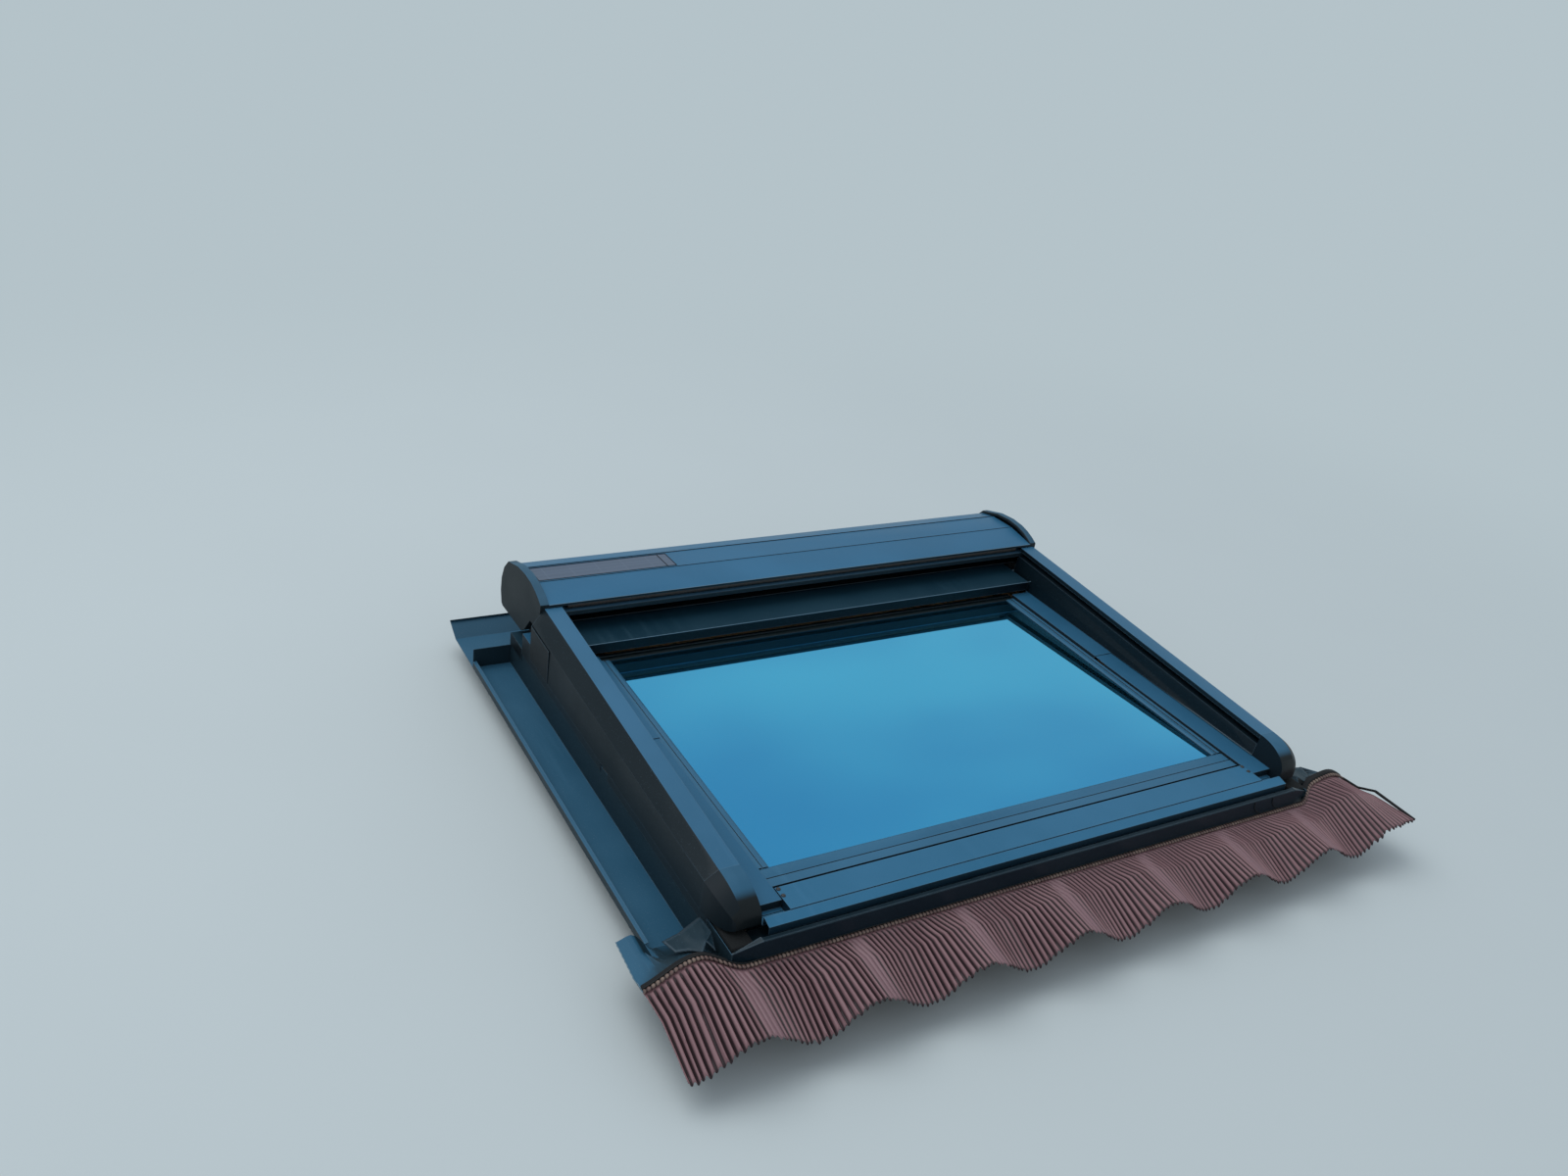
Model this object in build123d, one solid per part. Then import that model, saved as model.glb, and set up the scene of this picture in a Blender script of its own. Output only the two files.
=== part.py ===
from build123d import *
import os
from math import ceil, cos, hypot, pi, sin, sqrt

os.makedirs("parts", exist_ok=True)

# A centre-pivot roof window with a roller shutter outside and a flashing round it.
# Millimetres. X runs across the window, Y up the roof slope, Z out of the roof.
# The origin is the middle of the frame, level with the feet of its four brackets.

# Timber frame
window_width = 1140.0
window_length = 900.0
frame_board = 35.0
frame_low = -35.0
frame_high = 72.0

# Sash: the swinging timber that holds the glass
sash_gap = 4.0
sash_low = -20.0
sash_high = 90.0
stile_wide = 82.0
bottom_rail_wide = 81.0
top_rail_wide = 145.0
top_rail_room_wide = 110.0
top_rail_step = 28.0
head_bevel = 12.0
swing_clear = 2.5

# Glazing
glass_high = 96.0
pane_thick = 4.0
spacer_thick = 16.0
bedding_thick = 1.5
glass_bite = 14.0
glass_clear = 4.0
spacer_wide = 7.0
trim_wide = 19.6
trim_foot_wide = 41.0
trim_lip = 4.0

# Centre pivot
pivot_y = 0.0
pivot_z = 85.0
pivot_pin_r = 6.0
running_gap = 0.05

# Outer cladding of frame and sash
cover_sheet = 1.0
cover_high = 104.0
cover_step = 1.4
cover_set_back = 7.0
cover_overhang = 5.2
cover_skirt_low = 62.0
seam_y = 8.0
cover_tongue = 5.0
side_cover_short = 5.0
nose_room = 10.0
clip_wide = 20.0
clip_long = 24.0
clip_first = 100.0
clip_last_in = 71.0
post_first = 70.0
post_last_in = 21.0
clips_each_side = 3
bottom_cover_sheet = 1.5
bottom_cover_gap = 1.5
bottom_cover_in = 29.0
bottom_cover_crease_in = 21.0
bottom_cover_front_in = 3.0

# Top casing over the head of the window
casing_sheet = 1.2
casing_reach = 174.0
casing_high = 130.0
casing_lip = 19.0
casing_shelf = 102.0
casing_side_gap = 4.5
casing_slope_run = 43.0
casing_flange = 24.0

# Mounting brackets
bracket_sheet = 2.5
bracket_foot = 46.0
bracket_long = 90.0
bracket_tall = 60.0
bracket_in = 130.0
bracket_hole_r = 3.5
bracket_hole_out = 26.0
bracket_hole_pitch = 45.0

# Flashing
flash_sheet = 1.0
gutter_floor = 9.0
gutter_wide = 75.0
upstand_high = 72.0
upstand_front_rise = 6.0
sill_overhang = 10.0
sill_corner = 40.0
sill_corner_back = 8.0
sill_corner_high = 76.0
sill_high = 93.0
sill_low = 57.0
tile_pitch = 182.0
tile_crest_x = -588.0
tile_mid_z = 30.0
tile_wave = 20.0
wing_long = 120.0
wing_climb = 0.8
apron_long = 118.0
apron_right_short = 11.0
apron_left_out = 120.0
apron_right_out = 165.0
apron_top_left_out = 125.0
apron_top_right_out = 127.0
seam_hump = 20.0
seam_fall = 17.5
seam_crest_left_out = 51.0
seam_crest_right_out = 85.0
seam_back_left = 18.0
seam_back_right = 28.0
apron_bend = 0.36
apron_sheet = 1.4
pleat_pitch = 8.8
pleat_high = 1.5
top_gutter_depth = 110.0

# Roller shutter: side rails
rail_slope = 0.05
rail_top_drop = 3.8
rail_side_gap = 3.4
rail_side_lean = 21.6
rail_top_wide = 32.0
rail_foot_lean = 7.5
rail_sheet = 1.8
rail_foot_gap = 1.8
rail_low = 83.0
rail_crease_drop = 29.0
rail_crease_slope = 0.029
rail_inner_bend = 48.0
rail_nose_in = 86.0
rail_head_in = 115.5
slot_top = 8.0
slot_tall = 11.0
slot_web = 2.0
slot_deep = 24.0
nose_long = 66.0
nose_low = 84.0
nose_front_low = 94.0
nose_front_high = 107.0
nose_front_crease = 97.0
nose_taper = 26.0
nose_wall = 2.0
plate_long = 88.5
plate_sheet = 1.0

# Roller shutter: box
hood_sheet = 2.0
hood_end_in = 8.0
cap_thick = 16.0
cap_wall = 3.0
pan_sheet = 1.5
brush_long = 8.0
pan_gap = 15.3
roll_gap = 4.0
roll_back = 105.5
roll_r = 46.0
tube_r = 20.0
tube_sheet = 1.5
tube_end_gap = 9.0
tube_pin_r = 6.0
slat_thick = 5.0
slat_turn_gap = 0.6
panel_in = 8.0
panel_long = 274.0
panel_back = 75.5
panel_deep = 55.0
panel_thick = 3.2
battery_in = 119.0
battery_long = 280.0
battery_deep = 34.0
battery_tall = 34.0
battery_gap = 7.0
hinge_out = 2.0
hinge_up = 9.5
hinge_pin_r = 2.5
hinge_barrel_r = 5.0
hinge_barrel_long = 60.0
hinge_in = 150.0

# Curtain bar that closes the roller shutter
bar_end_gap = 3.0
bar_thick = 9.0
bar_deep = 32.0
bar_rest_out = 4.5
lead_slat_pitch = 18.0

# Ventilation flap, its pull bar and the lock
flap_pivot_out = 8.0
flap_pivot_z = 10.0
flap_end_gap = 5.0
flap_hinge_in = 64.0
flap_hinge_wide = 40.0
flap_thick = 12.0
flap_reach = 26.0
flap_open = 32.0
bar_r = 7.0
bar_out = 20.0
bar_down = 26.0
lock_half = 35.0
lock_low = 34.0
lock_high = 56.0
latch_half = 10.0
latch_travel = 7.0

fit_gap = 0.3

# Worked-out sizes
frame_x = window_width / 2
frame_y = window_length / 2
frame_in_x = frame_x - frame_board
frame_in_y = frame_y - frame_board
sash_x = frame_in_x - sash_gap
sash_y = frame_in_y - sash_gap
light_x = sash_x - stile_wide
light_low_y = -sash_y + bottom_rail_wide
light_high_y = sash_y - top_rail_wide
unit_thick = 2 * pane_thick + spacer_thick
rebate_z = glass_high - unit_thick - bedding_thick
unit_x = light_x + glass_bite
unit_low_y = light_low_y - glass_bite
unit_high_y = light_high_y + glass_bite
rebate_x = unit_x + glass_clear
rebate_low_y = unit_low_y - glass_clear
rebate_high_y = unit_high_y + glass_clear
upper_cover_high = cover_high + cover_step
rail_foot_z = cover_high + rail_foot_gap
sash_room_y = sash_y - (top_rail_wide - top_rail_room_wide)
seam_sheet_z = cover_high - cover_sheet
cover_inner_x = rebate_x + cover_set_back
cover_side_x = frame_x + cover_overhang
side_cover_low_y = -sash_y + side_cover_short
rail_side_x = cover_side_x + rail_side_gap
rail_top_outer_x = rail_side_x - rail_side_lean
rail_inner_x = rail_top_outer_x - rail_top_wide
rail_foot_x = rail_inner_x - rail_foot_lean
rail_nose_y = -frame_y + rail_nose_in
rail_end_y = frame_y - rail_head_in
slot_end_x = rail_inner_x + slot_deep
plate_low_y = rail_end_y - plate_long
bottom_cover_x = rail_foot_x - bottom_cover_gap
bottom_cover_back_y = -sash_y + bottom_cover_in
bottom_cover_crease_y = -frame_y + bottom_cover_crease_in
bottom_cover_front_y = -frame_y + bottom_cover_front_in
casing_front_y = frame_y - casing_reach
casing_half = rail_foot_x - casing_side_gap
bracket_y = frame_y - bracket_in
bracket_hole_x = frame_x + bracket_hole_out
gutter_x = frame_x + gutter_wide
sill_front_y = -frame_y - sill_overhang
wing_back_y = sill_front_y + wing_long
apron_left_x = -frame_x - apron_left_out
apron_right_x = frame_x + apron_right_out
apron_top_left_x = -frame_x - apron_top_left_out
apron_top_right_x = frame_x + apron_top_right_out
last_crest_x = tile_crest_x + tile_pitch * ceil((frame_x - tile_crest_x) / tile_pitch)
apron_edge_y = sill_front_y - apron_long
pan_z = frame_high + casing_sheet + pan_gap
roll_y = rail_end_y + roll_back
roll_z = pan_z + pan_sheet + roll_gap + roll_r
rail_top_head = roll_z + roll_r - rail_top_drop
rail_crease_head = rail_top_head - rail_crease_drop
hood_half = rail_top_outer_x - hood_end_in
tube_half = hood_half - tube_end_gap
panel_start_x = -hood_half + panel_in
panel_end_x = panel_start_x + panel_long
panel_low_y = rail_end_y + panel_back
panel_high_y = panel_low_y + panel_deep
hinge_x = frame_x - hinge_in
hinge_y = frame_y + hinge_out
hinge_z = frame_high + hinge_up
bar_half = slot_end_x - bar_end_gap
bar_low_y = rail_end_y - bar_rest_out
flap_pivot_y = sash_room_y + flap_pivot_out
flap_half = light_x - flap_end_gap
flap_hinge_x = flap_half - flap_hinge_in
apron_start_y = sill_front_y - flash_sheet - fit_gap


def rail_top(y):
    return rail_top_head + rail_slope * (y - rail_end_y)


def rail_crease(y):
    return rail_crease_head + rail_crease_slope * (y - rail_end_y)


def tile_top(x):
    return tile_mid_z + tile_wave * cos(2 * pi * (x - tile_crest_x) / tile_pitch)


def smooth(t):
    t = min(max(t, 0.0), 1.0)
    return t * t * (3 - 2 * t)


def along_x(points, start, end):
    """Prism of a (y, z) outline from x = start to x = end."""
    outline = Polyline(*[(start, y, z) for y, z in points], close=True)
    return extrude(make_face(outline), amount=end - start, dir=(1, 0, 0))


def along_y(points, start, end):
    """Prism of an (x, z) outline from y = start to y = end."""
    outline = Polyline(*[(x, start, z) for x, z in points], close=True)
    return extrude(make_face(outline), amount=end - start, dir=(0, 1, 0))


def block(low, high):
    """Box between two opposite corners."""
    size = [b - a for a, b in zip(low, high)]
    middle = [(a + b) / 2 for a, b in zip(low, high)]
    return Pos(*middle) * Box(*size)


def rod(start, end, radius):
    """Round bar along X between two end points."""
    length = end[0] - start[0]
    return Pos((start[0] + end[0]) / 2, start[1], start[2]) * Rot(0, 90, 0) * Cylinder(radius, length)


def other_side(solid):
    """The same piece on the other side of the window."""
    return mirror(solid, about=Plane.YZ)


def offset_line(points, distance):
    """The open line moved sideways by a distance, with mitred corners."""
    moved = []
    for i, (px, py) in enumerate(points):
        ends = []
        if i > 0:
            ends.append((points[i - 1], points[i]))
        if i < len(points) - 1:
            ends.append((points[i], points[i + 1]))
        normals = []
        for (ax, ay), (bx, by) in ends:
            length = hypot(bx - ax, by - ay)
            normals.append((-(by - ay) / length, (bx - ax) / length))
        nx = sum(n[0] for n in normals) / len(normals)
        ny = sum(n[1] for n in normals) / len(normals)
        scale = distance / (nx * nx + ny * ny)
        moved.append((px + nx * scale, py + ny * scale))
    return moved


def folded(points, sheet):
    """Closed outline of a sheet folded along an open line; its thickness lies to the line's left."""
    return points + offset_line(points, sheet)[::-1]


def loft_y(sections):
    """Straight-sided loft through (x, z) outlines, each at its own y."""
    faces = []
    for y, points in sections:
        faces.append(make_face(Polyline(*[(x, y, z) for x, z in points], close=True)))
    return loft(faces, ruled=True)


def save(node, *pieces):
    """Write one node; several pieces become a group of separate solids."""
    solids = [solid for piece in pieces for solid in piece.solids()]
    shape = solids[0] if len(solids) == 1 else Compound(children=solids)
    export_step(shape, f"parts/{node}.step")


# Timber frame: side boards run the whole length, head and sill boards fit between them
def frame_boards():
    side = block((frame_in_x, -frame_y, frame_low), (frame_x, frame_y, frame_high))
    save("frame_right_board", side)
    save("frame_left_board", other_side(side))
    sill = block((-frame_in_x, -frame_y, frame_low), (frame_in_x, -frame_in_y, frame_high))
    save("frame_sill_board", sill)
    head = block((-frame_in_x, frame_in_y, frame_low), (frame_in_x, frame_y, frame_high))
    latch_middle = (lock_low + lock_high) / 2
    latch_tall = (lock_high - lock_low) / 4 + 2
    pocket_half = latch_half + 2
    pocket_deep = latch_travel + 4
    head -= block((-pocket_half, frame_in_y, latch_middle - latch_tall),
                  (pocket_half, frame_in_y + pocket_deep, latch_middle + latch_tall))
    plate_half = pocket_half + 18
    plate_tall = latch_tall + 6
    head -= block((-plate_half, frame_in_y, latch_middle - plate_tall),
                  (plate_half, frame_in_y + 2, latch_middle + plate_tall))
    save("frame_head_board", head)
    striker = block((-plate_half, frame_in_y, latch_middle - plate_tall),
                    (plate_half, frame_in_y + 2, latch_middle + plate_tall))
    striker -= block((-pocket_half, frame_in_y - 1, latch_middle - latch_tall),
                     (pocket_half, frame_in_y + 3, latch_middle + latch_tall))
    save("striker_plate", striker)


# Rubber seal on the frame's inner faces, just below the sash's outer edge
def frame_seal():
    seal_deep = sash_gap - 1.5
    seal_tall = 8.0
    seal_z = frame_high - 14.0
    outer = block((-frame_in_x, -frame_in_y, seal_z), (frame_in_x, frame_in_y, seal_z + seal_tall))
    inner = block((-frame_in_x + seal_deep, -frame_in_y + 1.0, seal_z - 1),
                  (frame_in_x - seal_deep, frame_in_y - seal_deep, seal_z + seal_tall + 1))
    save("frame_seal", outer - inner)


# Four steel angle brackets, two on each side board
def brackets():
    pieces = []
    for y in (-bracket_y, bracket_y):
        angle = [(frame_x, bracket_tall), (frame_x, 0), (frame_x + bracket_foot, 0),
                 (frame_x + bracket_foot, bracket_sheet), (frame_x + bracket_sheet, bracket_sheet),
                 (frame_x + bracket_sheet, bracket_tall)]
        angle = along_y(angle, y - bracket_long / 2, y + bracket_long / 2)
        for hole_y in (y - bracket_hole_pitch / 2, y + bracket_hole_pitch / 2):
            hole = Cylinder(bracket_hole_r, 3 * bracket_sheet)
            angle -= Pos(bracket_hole_x, hole_y, bracket_sheet / 2) * hole
        pieces += [angle, other_side(angle)]
    save("mounting_brackets", *pieces)


def sash_members():
    """Sash timbers, with the rebate for the glass, room for the swing at the foot and a bevelled head."""
    swing_r = frame_in_y - swing_clear - pivot_y
    foot_y = pivot_y - sqrt(swing_r ** 2 - (pivot_z - sash_low) ** 2)
    swing_cut = along_x([(-sash_y - 1, pivot_z), (-sash_y, pivot_z), (foot_y, sash_low - 1),
                         (-sash_y - 1, sash_low - 1)], -frame_x, frame_x)
    bevel = along_x([(sash_y - head_bevel - 1, sash_high + 1), (sash_y + 1, sash_high + 1),
                     (sash_y + 1, sash_high - head_bevel - 1)], -frame_x, frame_x)
    stile = along_y([(light_x, sash_low), (sash_x, sash_low), (sash_x, sash_high), (rebate_x, sash_high),
                     (rebate_x, rebate_z), (light_x, rebate_z)], -sash_y, sash_y)
    block_x = sash_x - 22.0
    stile -= block((block_x, pivot_y - 22, pivot_z - 15), (sash_x + 1, pivot_y + 22, sash_high + 1))
    stile -= swing_cut + bevel
    save("sash_right_stile", stile)
    save("sash_left_stile", other_side(stile))
    bottom = along_x([(-sash_y, sash_low), (light_low_y, sash_low), (light_low_y, rebate_z),
                      (rebate_low_y, rebate_z), (rebate_low_y, sash_high), (-sash_y, sash_high)],
                     -light_x, light_x)
    save("sash_bottom_rail", bottom - swing_cut)
    top = along_x([(light_high_y, sash_low), (sash_room_y, sash_low), (sash_room_y, top_rail_step),
                   (sash_y, top_rail_step), (sash_y, sash_high), (rebate_high_y, sash_high),
                   (rebate_high_y, rebate_z), (light_high_y, rebate_z)], -light_x, light_x)
    top -= lock_body(0.0) + bevel
    save("sash_top_rail", top)


def lock_body(extra):
    """Outside of the lock case, let into the edge of the sash's top rail."""
    return block((-lock_half - extra, sash_y - 25, lock_low - extra),
                 (lock_half + extra, sash_y, lock_high + extra))


def lock_and_latch():
    middle = (lock_low + lock_high) / 2
    half_tall = (lock_high - lock_low) / 4 - 0.5
    back = sash_y - 22
    channel = block((-latch_half - fit_gap, back - 1, middle - half_tall - fit_gap),
                    (latch_half + fit_gap, sash_y + 1, middle + half_tall + fit_gap))
    save("lock_case", lock_body(0.0) - channel)
    bolt = block((-latch_half, back, middle - half_tall), (latch_half, sash_y - 0.5, middle + half_tall))
    save("latch_bolt", bolt)


# Insulating glass: two panes, the spacer bar between their edges and the tape they lie on
def glazing():
    bottom = rebate_z + bedding_thick

    def sheet(low, thick):
        return block((-unit_x, unit_low_y, low), (unit_x, unit_high_y, low + thick))

    save("inner_pane", sheet(bottom, pane_thick))
    save("outer_pane", sheet(glass_high - pane_thick, pane_thick))

    def ring(low, thick, edge, wide):
        outer = block((-unit_x + edge, unit_low_y + edge, low),
                      (unit_x - edge, unit_high_y - edge, low + thick))
        far = edge + wide
        return outer - block((-unit_x + far, unit_low_y + far, low - 1),
                             (unit_x - far, unit_high_y - far, low + thick + 1))

    save("glass_spacer", ring(bottom + pane_thick, spacer_thick, 1.0, spacer_wide))
    save("glass_bedding", ring(rebate_z, bedding_thick, 0.5, glass_bite - 1.0))


def trim_outline(glass_edge, outward, wide):
    """Section of a glazing trim: a lip on the glass, a fine step and a leg on the timber."""
    leg = glass_edge + wide * outward
    leg_in = leg - 5.0 * outward
    lip = glass_edge + trim_lip * outward
    step = glass_edge + 0.55 * wide * outward
    groove = step + 2.0 * outward
    return [(glass_edge, glass_high), (glass_edge, glass_high + 1.6), (lip, glass_high + 3.4),
            (step, glass_high + 3.4), (step, glass_high + 2.2), (groove, glass_high + 2.2),
            (groove, glass_high + 3.8), (leg, glass_high + 3.8), (leg, sash_high), (leg_in, sash_high),
            (leg_in, glass_high + 0.6), (lip, glass_high)]


# Aluminium trims that hold the glass down on all four sides; the wide one at the foot has a
# thin flange that covers the timber as far as the bottom cover
def glazing_trims():
    edge_x = cover_inner_x - 1.0 - trim_wide
    low_y = unit_low_y + 12.0
    high_y = unit_high_y - 12.0
    side = along_y(trim_outline(edge_x, 1, trim_wide), low_y, high_y)
    save("glass_trim_right", side)
    save("glass_trim_left", other_side(side))
    half = edge_x + trim_wide
    foot = along_x(trim_outline(low_y, -1, trim_foot_wide), -half, half)
    foot += block((-half, bottom_cover_back_y + fit_gap, sash_high),
                  (half, low_y - trim_foot_wide + 5.0, sash_high + cover_sheet))
    save("glass_trim_bottom", foot)
    save("glass_trim_top", along_x(trim_outline(high_y, 1, trim_wide), -half, half))


# Centre pivot: a steel block with its pin in each stile, and a housing on each side board
def pivots():
    block_x = sash_x - 22.0
    pin_end = frame_in_x + 22.0
    arm = block((block_x, pivot_y - 22, pivot_z - 15), (sash_x, pivot_y + 22, pivot_z + 11))
    arm += rod((sash_x, pivot_y, pivot_z), (pin_end, pivot_y, pivot_z), pivot_pin_r)
    save("pivot_pins", arm, other_side(arm))
    housing = block((frame_in_x + 1, pivot_y - 26, frame_high), (frame_x - 4, pivot_y + 26, pivot_z - 4))
    housing += rod((frame_in_x + 1, pivot_y, pivot_z), (frame_x - 4, pivot_y, pivot_z), 2 * pivot_pin_r)
    housing -= rod((frame_in_x - 1, pivot_y, pivot_z), (frame_x, pivot_y, pivot_z), pivot_pin_r + running_gap)
    save("pivot_housings", housing, other_side(housing))


def side_cover(low_y, high_y, high):
    """Folded side cladding: a flat strip, a turned-down inner edge and an outer skirt."""
    cover = block((cover_inner_x, low_y, high - cover_sheet), (cover_side_x, high_y, high))
    cover += block((cover_side_x - cover_sheet, low_y, cover_skirt_low), (cover_side_x, high_y, high))
    cover += block((cover_inner_x, low_y, glass_high + 2.0), (cover_inner_x + cover_sheet, high_y, high))
    return cover


def even_places(first, last):
    """Where the clips of one side sit, from the first to the last."""
    return [first + (last - first) * i / (clips_each_side - 1) for i in range(clips_each_side)]


# Side cladding: the lower half swings with the sash, the upper half stays on the frame
def side_covers():
    folds_end_y = pivot_y - 22
    lower = side_cover(side_cover_low_y, folds_end_y, cover_high)
    lower += block((cover_inner_x, folds_end_y, seam_sheet_z), (cover_side_x, pivot_y - seam_y, cover_high))
    narrow = cover_sheet + fit_gap
    lower += block((cover_inner_x + narrow, pivot_y - seam_y, seam_sheet_z),
                   (cover_side_x - narrow, seam_y + cover_tongue, cover_high))
    foot_y = -sash_y - 1.3
    foot_z = sash_high + 1.3
    end = [(side_cover_low_y, cover_high), (side_cover_low_y, foot_z), (foot_y, foot_z),
           (foot_y, frame_high + 3)]
    lower += along_x(folded(end, cover_sheet), cover_inner_x, cover_side_x)
    lower += block((cover_inner_x, foot_y - cover_sheet, frame_high - 3), (sash_x - 1, foot_y, foot_z))
    corner = Polyline((cover_side_x + 1, rail_nose_y - 10, 0), (cover_side_x + 1, foot_y - 1, 0),
                      (cover_side_x - nose_room, foot_y - 1, 0), close=True)
    lower -= extrude(make_face(corner), amount=cover_high + 1, dir=(0, 0, 1))
    save("lower_side_cover_right", lower)
    save("lower_side_cover_left", other_side(lower))
    upper_end_y = casing_front_y - 0.5
    upper = side_cover(seam_y, upper_end_y, upper_cover_high)
    back_y = casing_front_y + casing_shelf + 10
    upper += block((casing_half + 1.5, upper_end_y, upper_cover_high - cover_sheet),
                   (cover_side_x, back_y, upper_cover_high))
    upper += block((cover_side_x - cover_sheet, upper_end_y, cover_skirt_low),
                   (cover_side_x, back_y, upper_cover_high))
    upper += block((frame_in_x, back_y - cover_sheet, frame_high), (cover_side_x, back_y, upper_cover_high))
    save("upper_side_cover_right", upper)
    save("upper_side_cover_left", other_side(upper))
    half = clip_long / 2
    clips = []
    for y in even_places(-sash_y + clip_last_in, -clip_first):
        clips.append(block((sash_x - 16 - clip_wide, y - half, sash_high),
                           (sash_x - 16, y + half, seam_sheet_z)))
    save("sash_cover_clips", *clips, *[other_side(clip) for clip in clips])
    posts = []
    for y in even_places(post_first, casing_front_y - post_last_in):
        posts.append(block((frame_in_x + 8, y - half, frame_high),
                           (frame_x - 6, y + half, upper_cover_high - cover_sheet)))
    save("frame_cover_clips", *posts, *[other_side(post) for post in posts])


# Cladding along the sash's foot: it lies between the side covers, and its front band with a
# fine step line and a drip edge runs on past their ends
def bottom_cover():
    fall = 0.6
    top = cover_high + bottom_cover_sheet + fall
    crease = bottom_cover_crease_y
    front = bottom_cover_front_y
    back = bottom_cover_back_y
    line = [(front - 1.0, glass_high - 7.0), (front, top - 5.0), (crease - 1.6, top - 0.9),
            (crease - 1.6, top - 1.6), (crease, top - 1.6), (crease, top), (back, top - fall),
            (back, sash_high)]
    cover = along_x(folded(line, -bottom_cover_sheet), -bottom_cover_x, bottom_cover_x)
    inner_x = cover_inner_x - 0.5
    notch = block((inner_x, crease, sash_high - 1), (bottom_cover_x + 1, back + 1, top + 1))
    cover -= notch + other_side(notch)
    ledge_z = sash_high + cover_sheet
    corner = block((inner_x, crease - 1.5, sash_high), (bottom_cover_x, -sash_y - 2 - cover_sheet, ledge_z))
    corner += block((inner_x, crease - 1.5, sash_high), (bottom_cover_x, crease, top - 1.6))
    corner += block((inner_x - cover_sheet, crease - 1.0, sash_high + fit_gap),
                    (inner_x, back, top - fall - 0.5))
    save("sash_bottom_cover", cover + corner + other_side(corner))


def casing_line():
    """Side view of the top casing: lip, shelf, slope and the ledge over the head board."""
    front = casing_front_y
    shelf_end = front + casing_shelf
    foot = shelf_end + casing_slope_run
    ledge = frame_high + casing_sheet
    return [(front, casing_high - casing_lip), (front, casing_high), (shelf_end, casing_high + 1.0),
            (foot, ledge + 6.8), (foot + 6, ledge), (frame_y + casing_sheet, ledge)]


# Folded aluminium casing over the head of the window
def top_casing():
    line = casing_line()
    body = along_x(folded(line, -casing_sheet), -casing_half, casing_half)
    clear = sash_gap
    end = line[1:5] + [(line[4][0], frame_high), (sash_y + clear, frame_high),
                       (sash_y + clear, sash_high - head_bevel + 2),
                       (sash_y - head_bevel + 2, sash_high + clear),
                       (line[0][0], upper_cover_high + 0.2)]
    wall = along_x(end, casing_half - casing_sheet, casing_half)
    body += wall + other_side(wall)
    ledge_y = line[4][0]
    ledge = block((-cover_side_x, ledge_y, frame_high), (cover_side_x, frame_y + casing_sheet, line[5][1]))
    body += ledge
    body += block((-cover_side_x, frame_y, frame_high - casing_flange),
                  (cover_side_x, frame_y + casing_sheet, line[5][1]))
    ear_y = casing_front_y + casing_shelf + 11
    ear = block((frame_in_x, ear_y, frame_high), (cover_side_x, ledge_y + 1, line[5][1]))
    ear += block((cover_side_x - casing_sheet, ear_y, frame_high - casing_flange),
                 (cover_side_x, frame_y + casing_sheet, line[5][1]))
    save("top_casing", body + ear + other_side(ear))


# Ventilation flap between the sash's top rail and the frame, with the bar that pulls it
def flap_and_bar():
    turn = Rot(-flap_open, 0, 0)
    place = Pos(0, flap_pivot_y, flap_pivot_z)
    flap = block((-flap_half, -4.5, -flap_thick / 2), (flap_half, flap_reach, flap_thick / 2))
    seats = (-flap_hinge_x, 0.0, flap_hinge_x)
    half = flap_hinge_wide / 2
    for x in seats:
        flap -= block((x - half - fit_gap, -6, -flap_thick), (x + half + fit_gap, 7.5, flap_thick))
    axle = rod((-flap_half, 0, 0), (flap_half, 0, 0), 2.5)
    save("vent_flap", place * turn * (flap + axle))
    pull = rod((-flap_hinge_x - 50, bar_out, -bar_down), (flap_hinge_x + 50, bar_out, -bar_down), bar_r)
    for x in seats:
        stem = block((x - 8, bar_out - 4, -bar_down), (x + 8, bar_out + 4, -flap_thick / 2))
        pull += stem
    save("pull_bar", place * turn * pull)
    knuckles = []
    for x in seats:
        start, end = x - half, x + half
        knuckle = block((start, sash_room_y, flap_pivot_z - 5), (end, flap_pivot_y, flap_pivot_z + 5))
        knuckle += rod((start, flap_pivot_y, flap_pivot_z), (end, flap_pivot_y, flap_pivot_z), 5)
        knuckle -= rod((start - 1, flap_pivot_y, flap_pivot_z), (end + 1, flap_pivot_y, flap_pivot_z),
                       2.5 + running_gap)
        knuckles.append(knuckle)
    save("flap_hinges", *knuckles)


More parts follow.
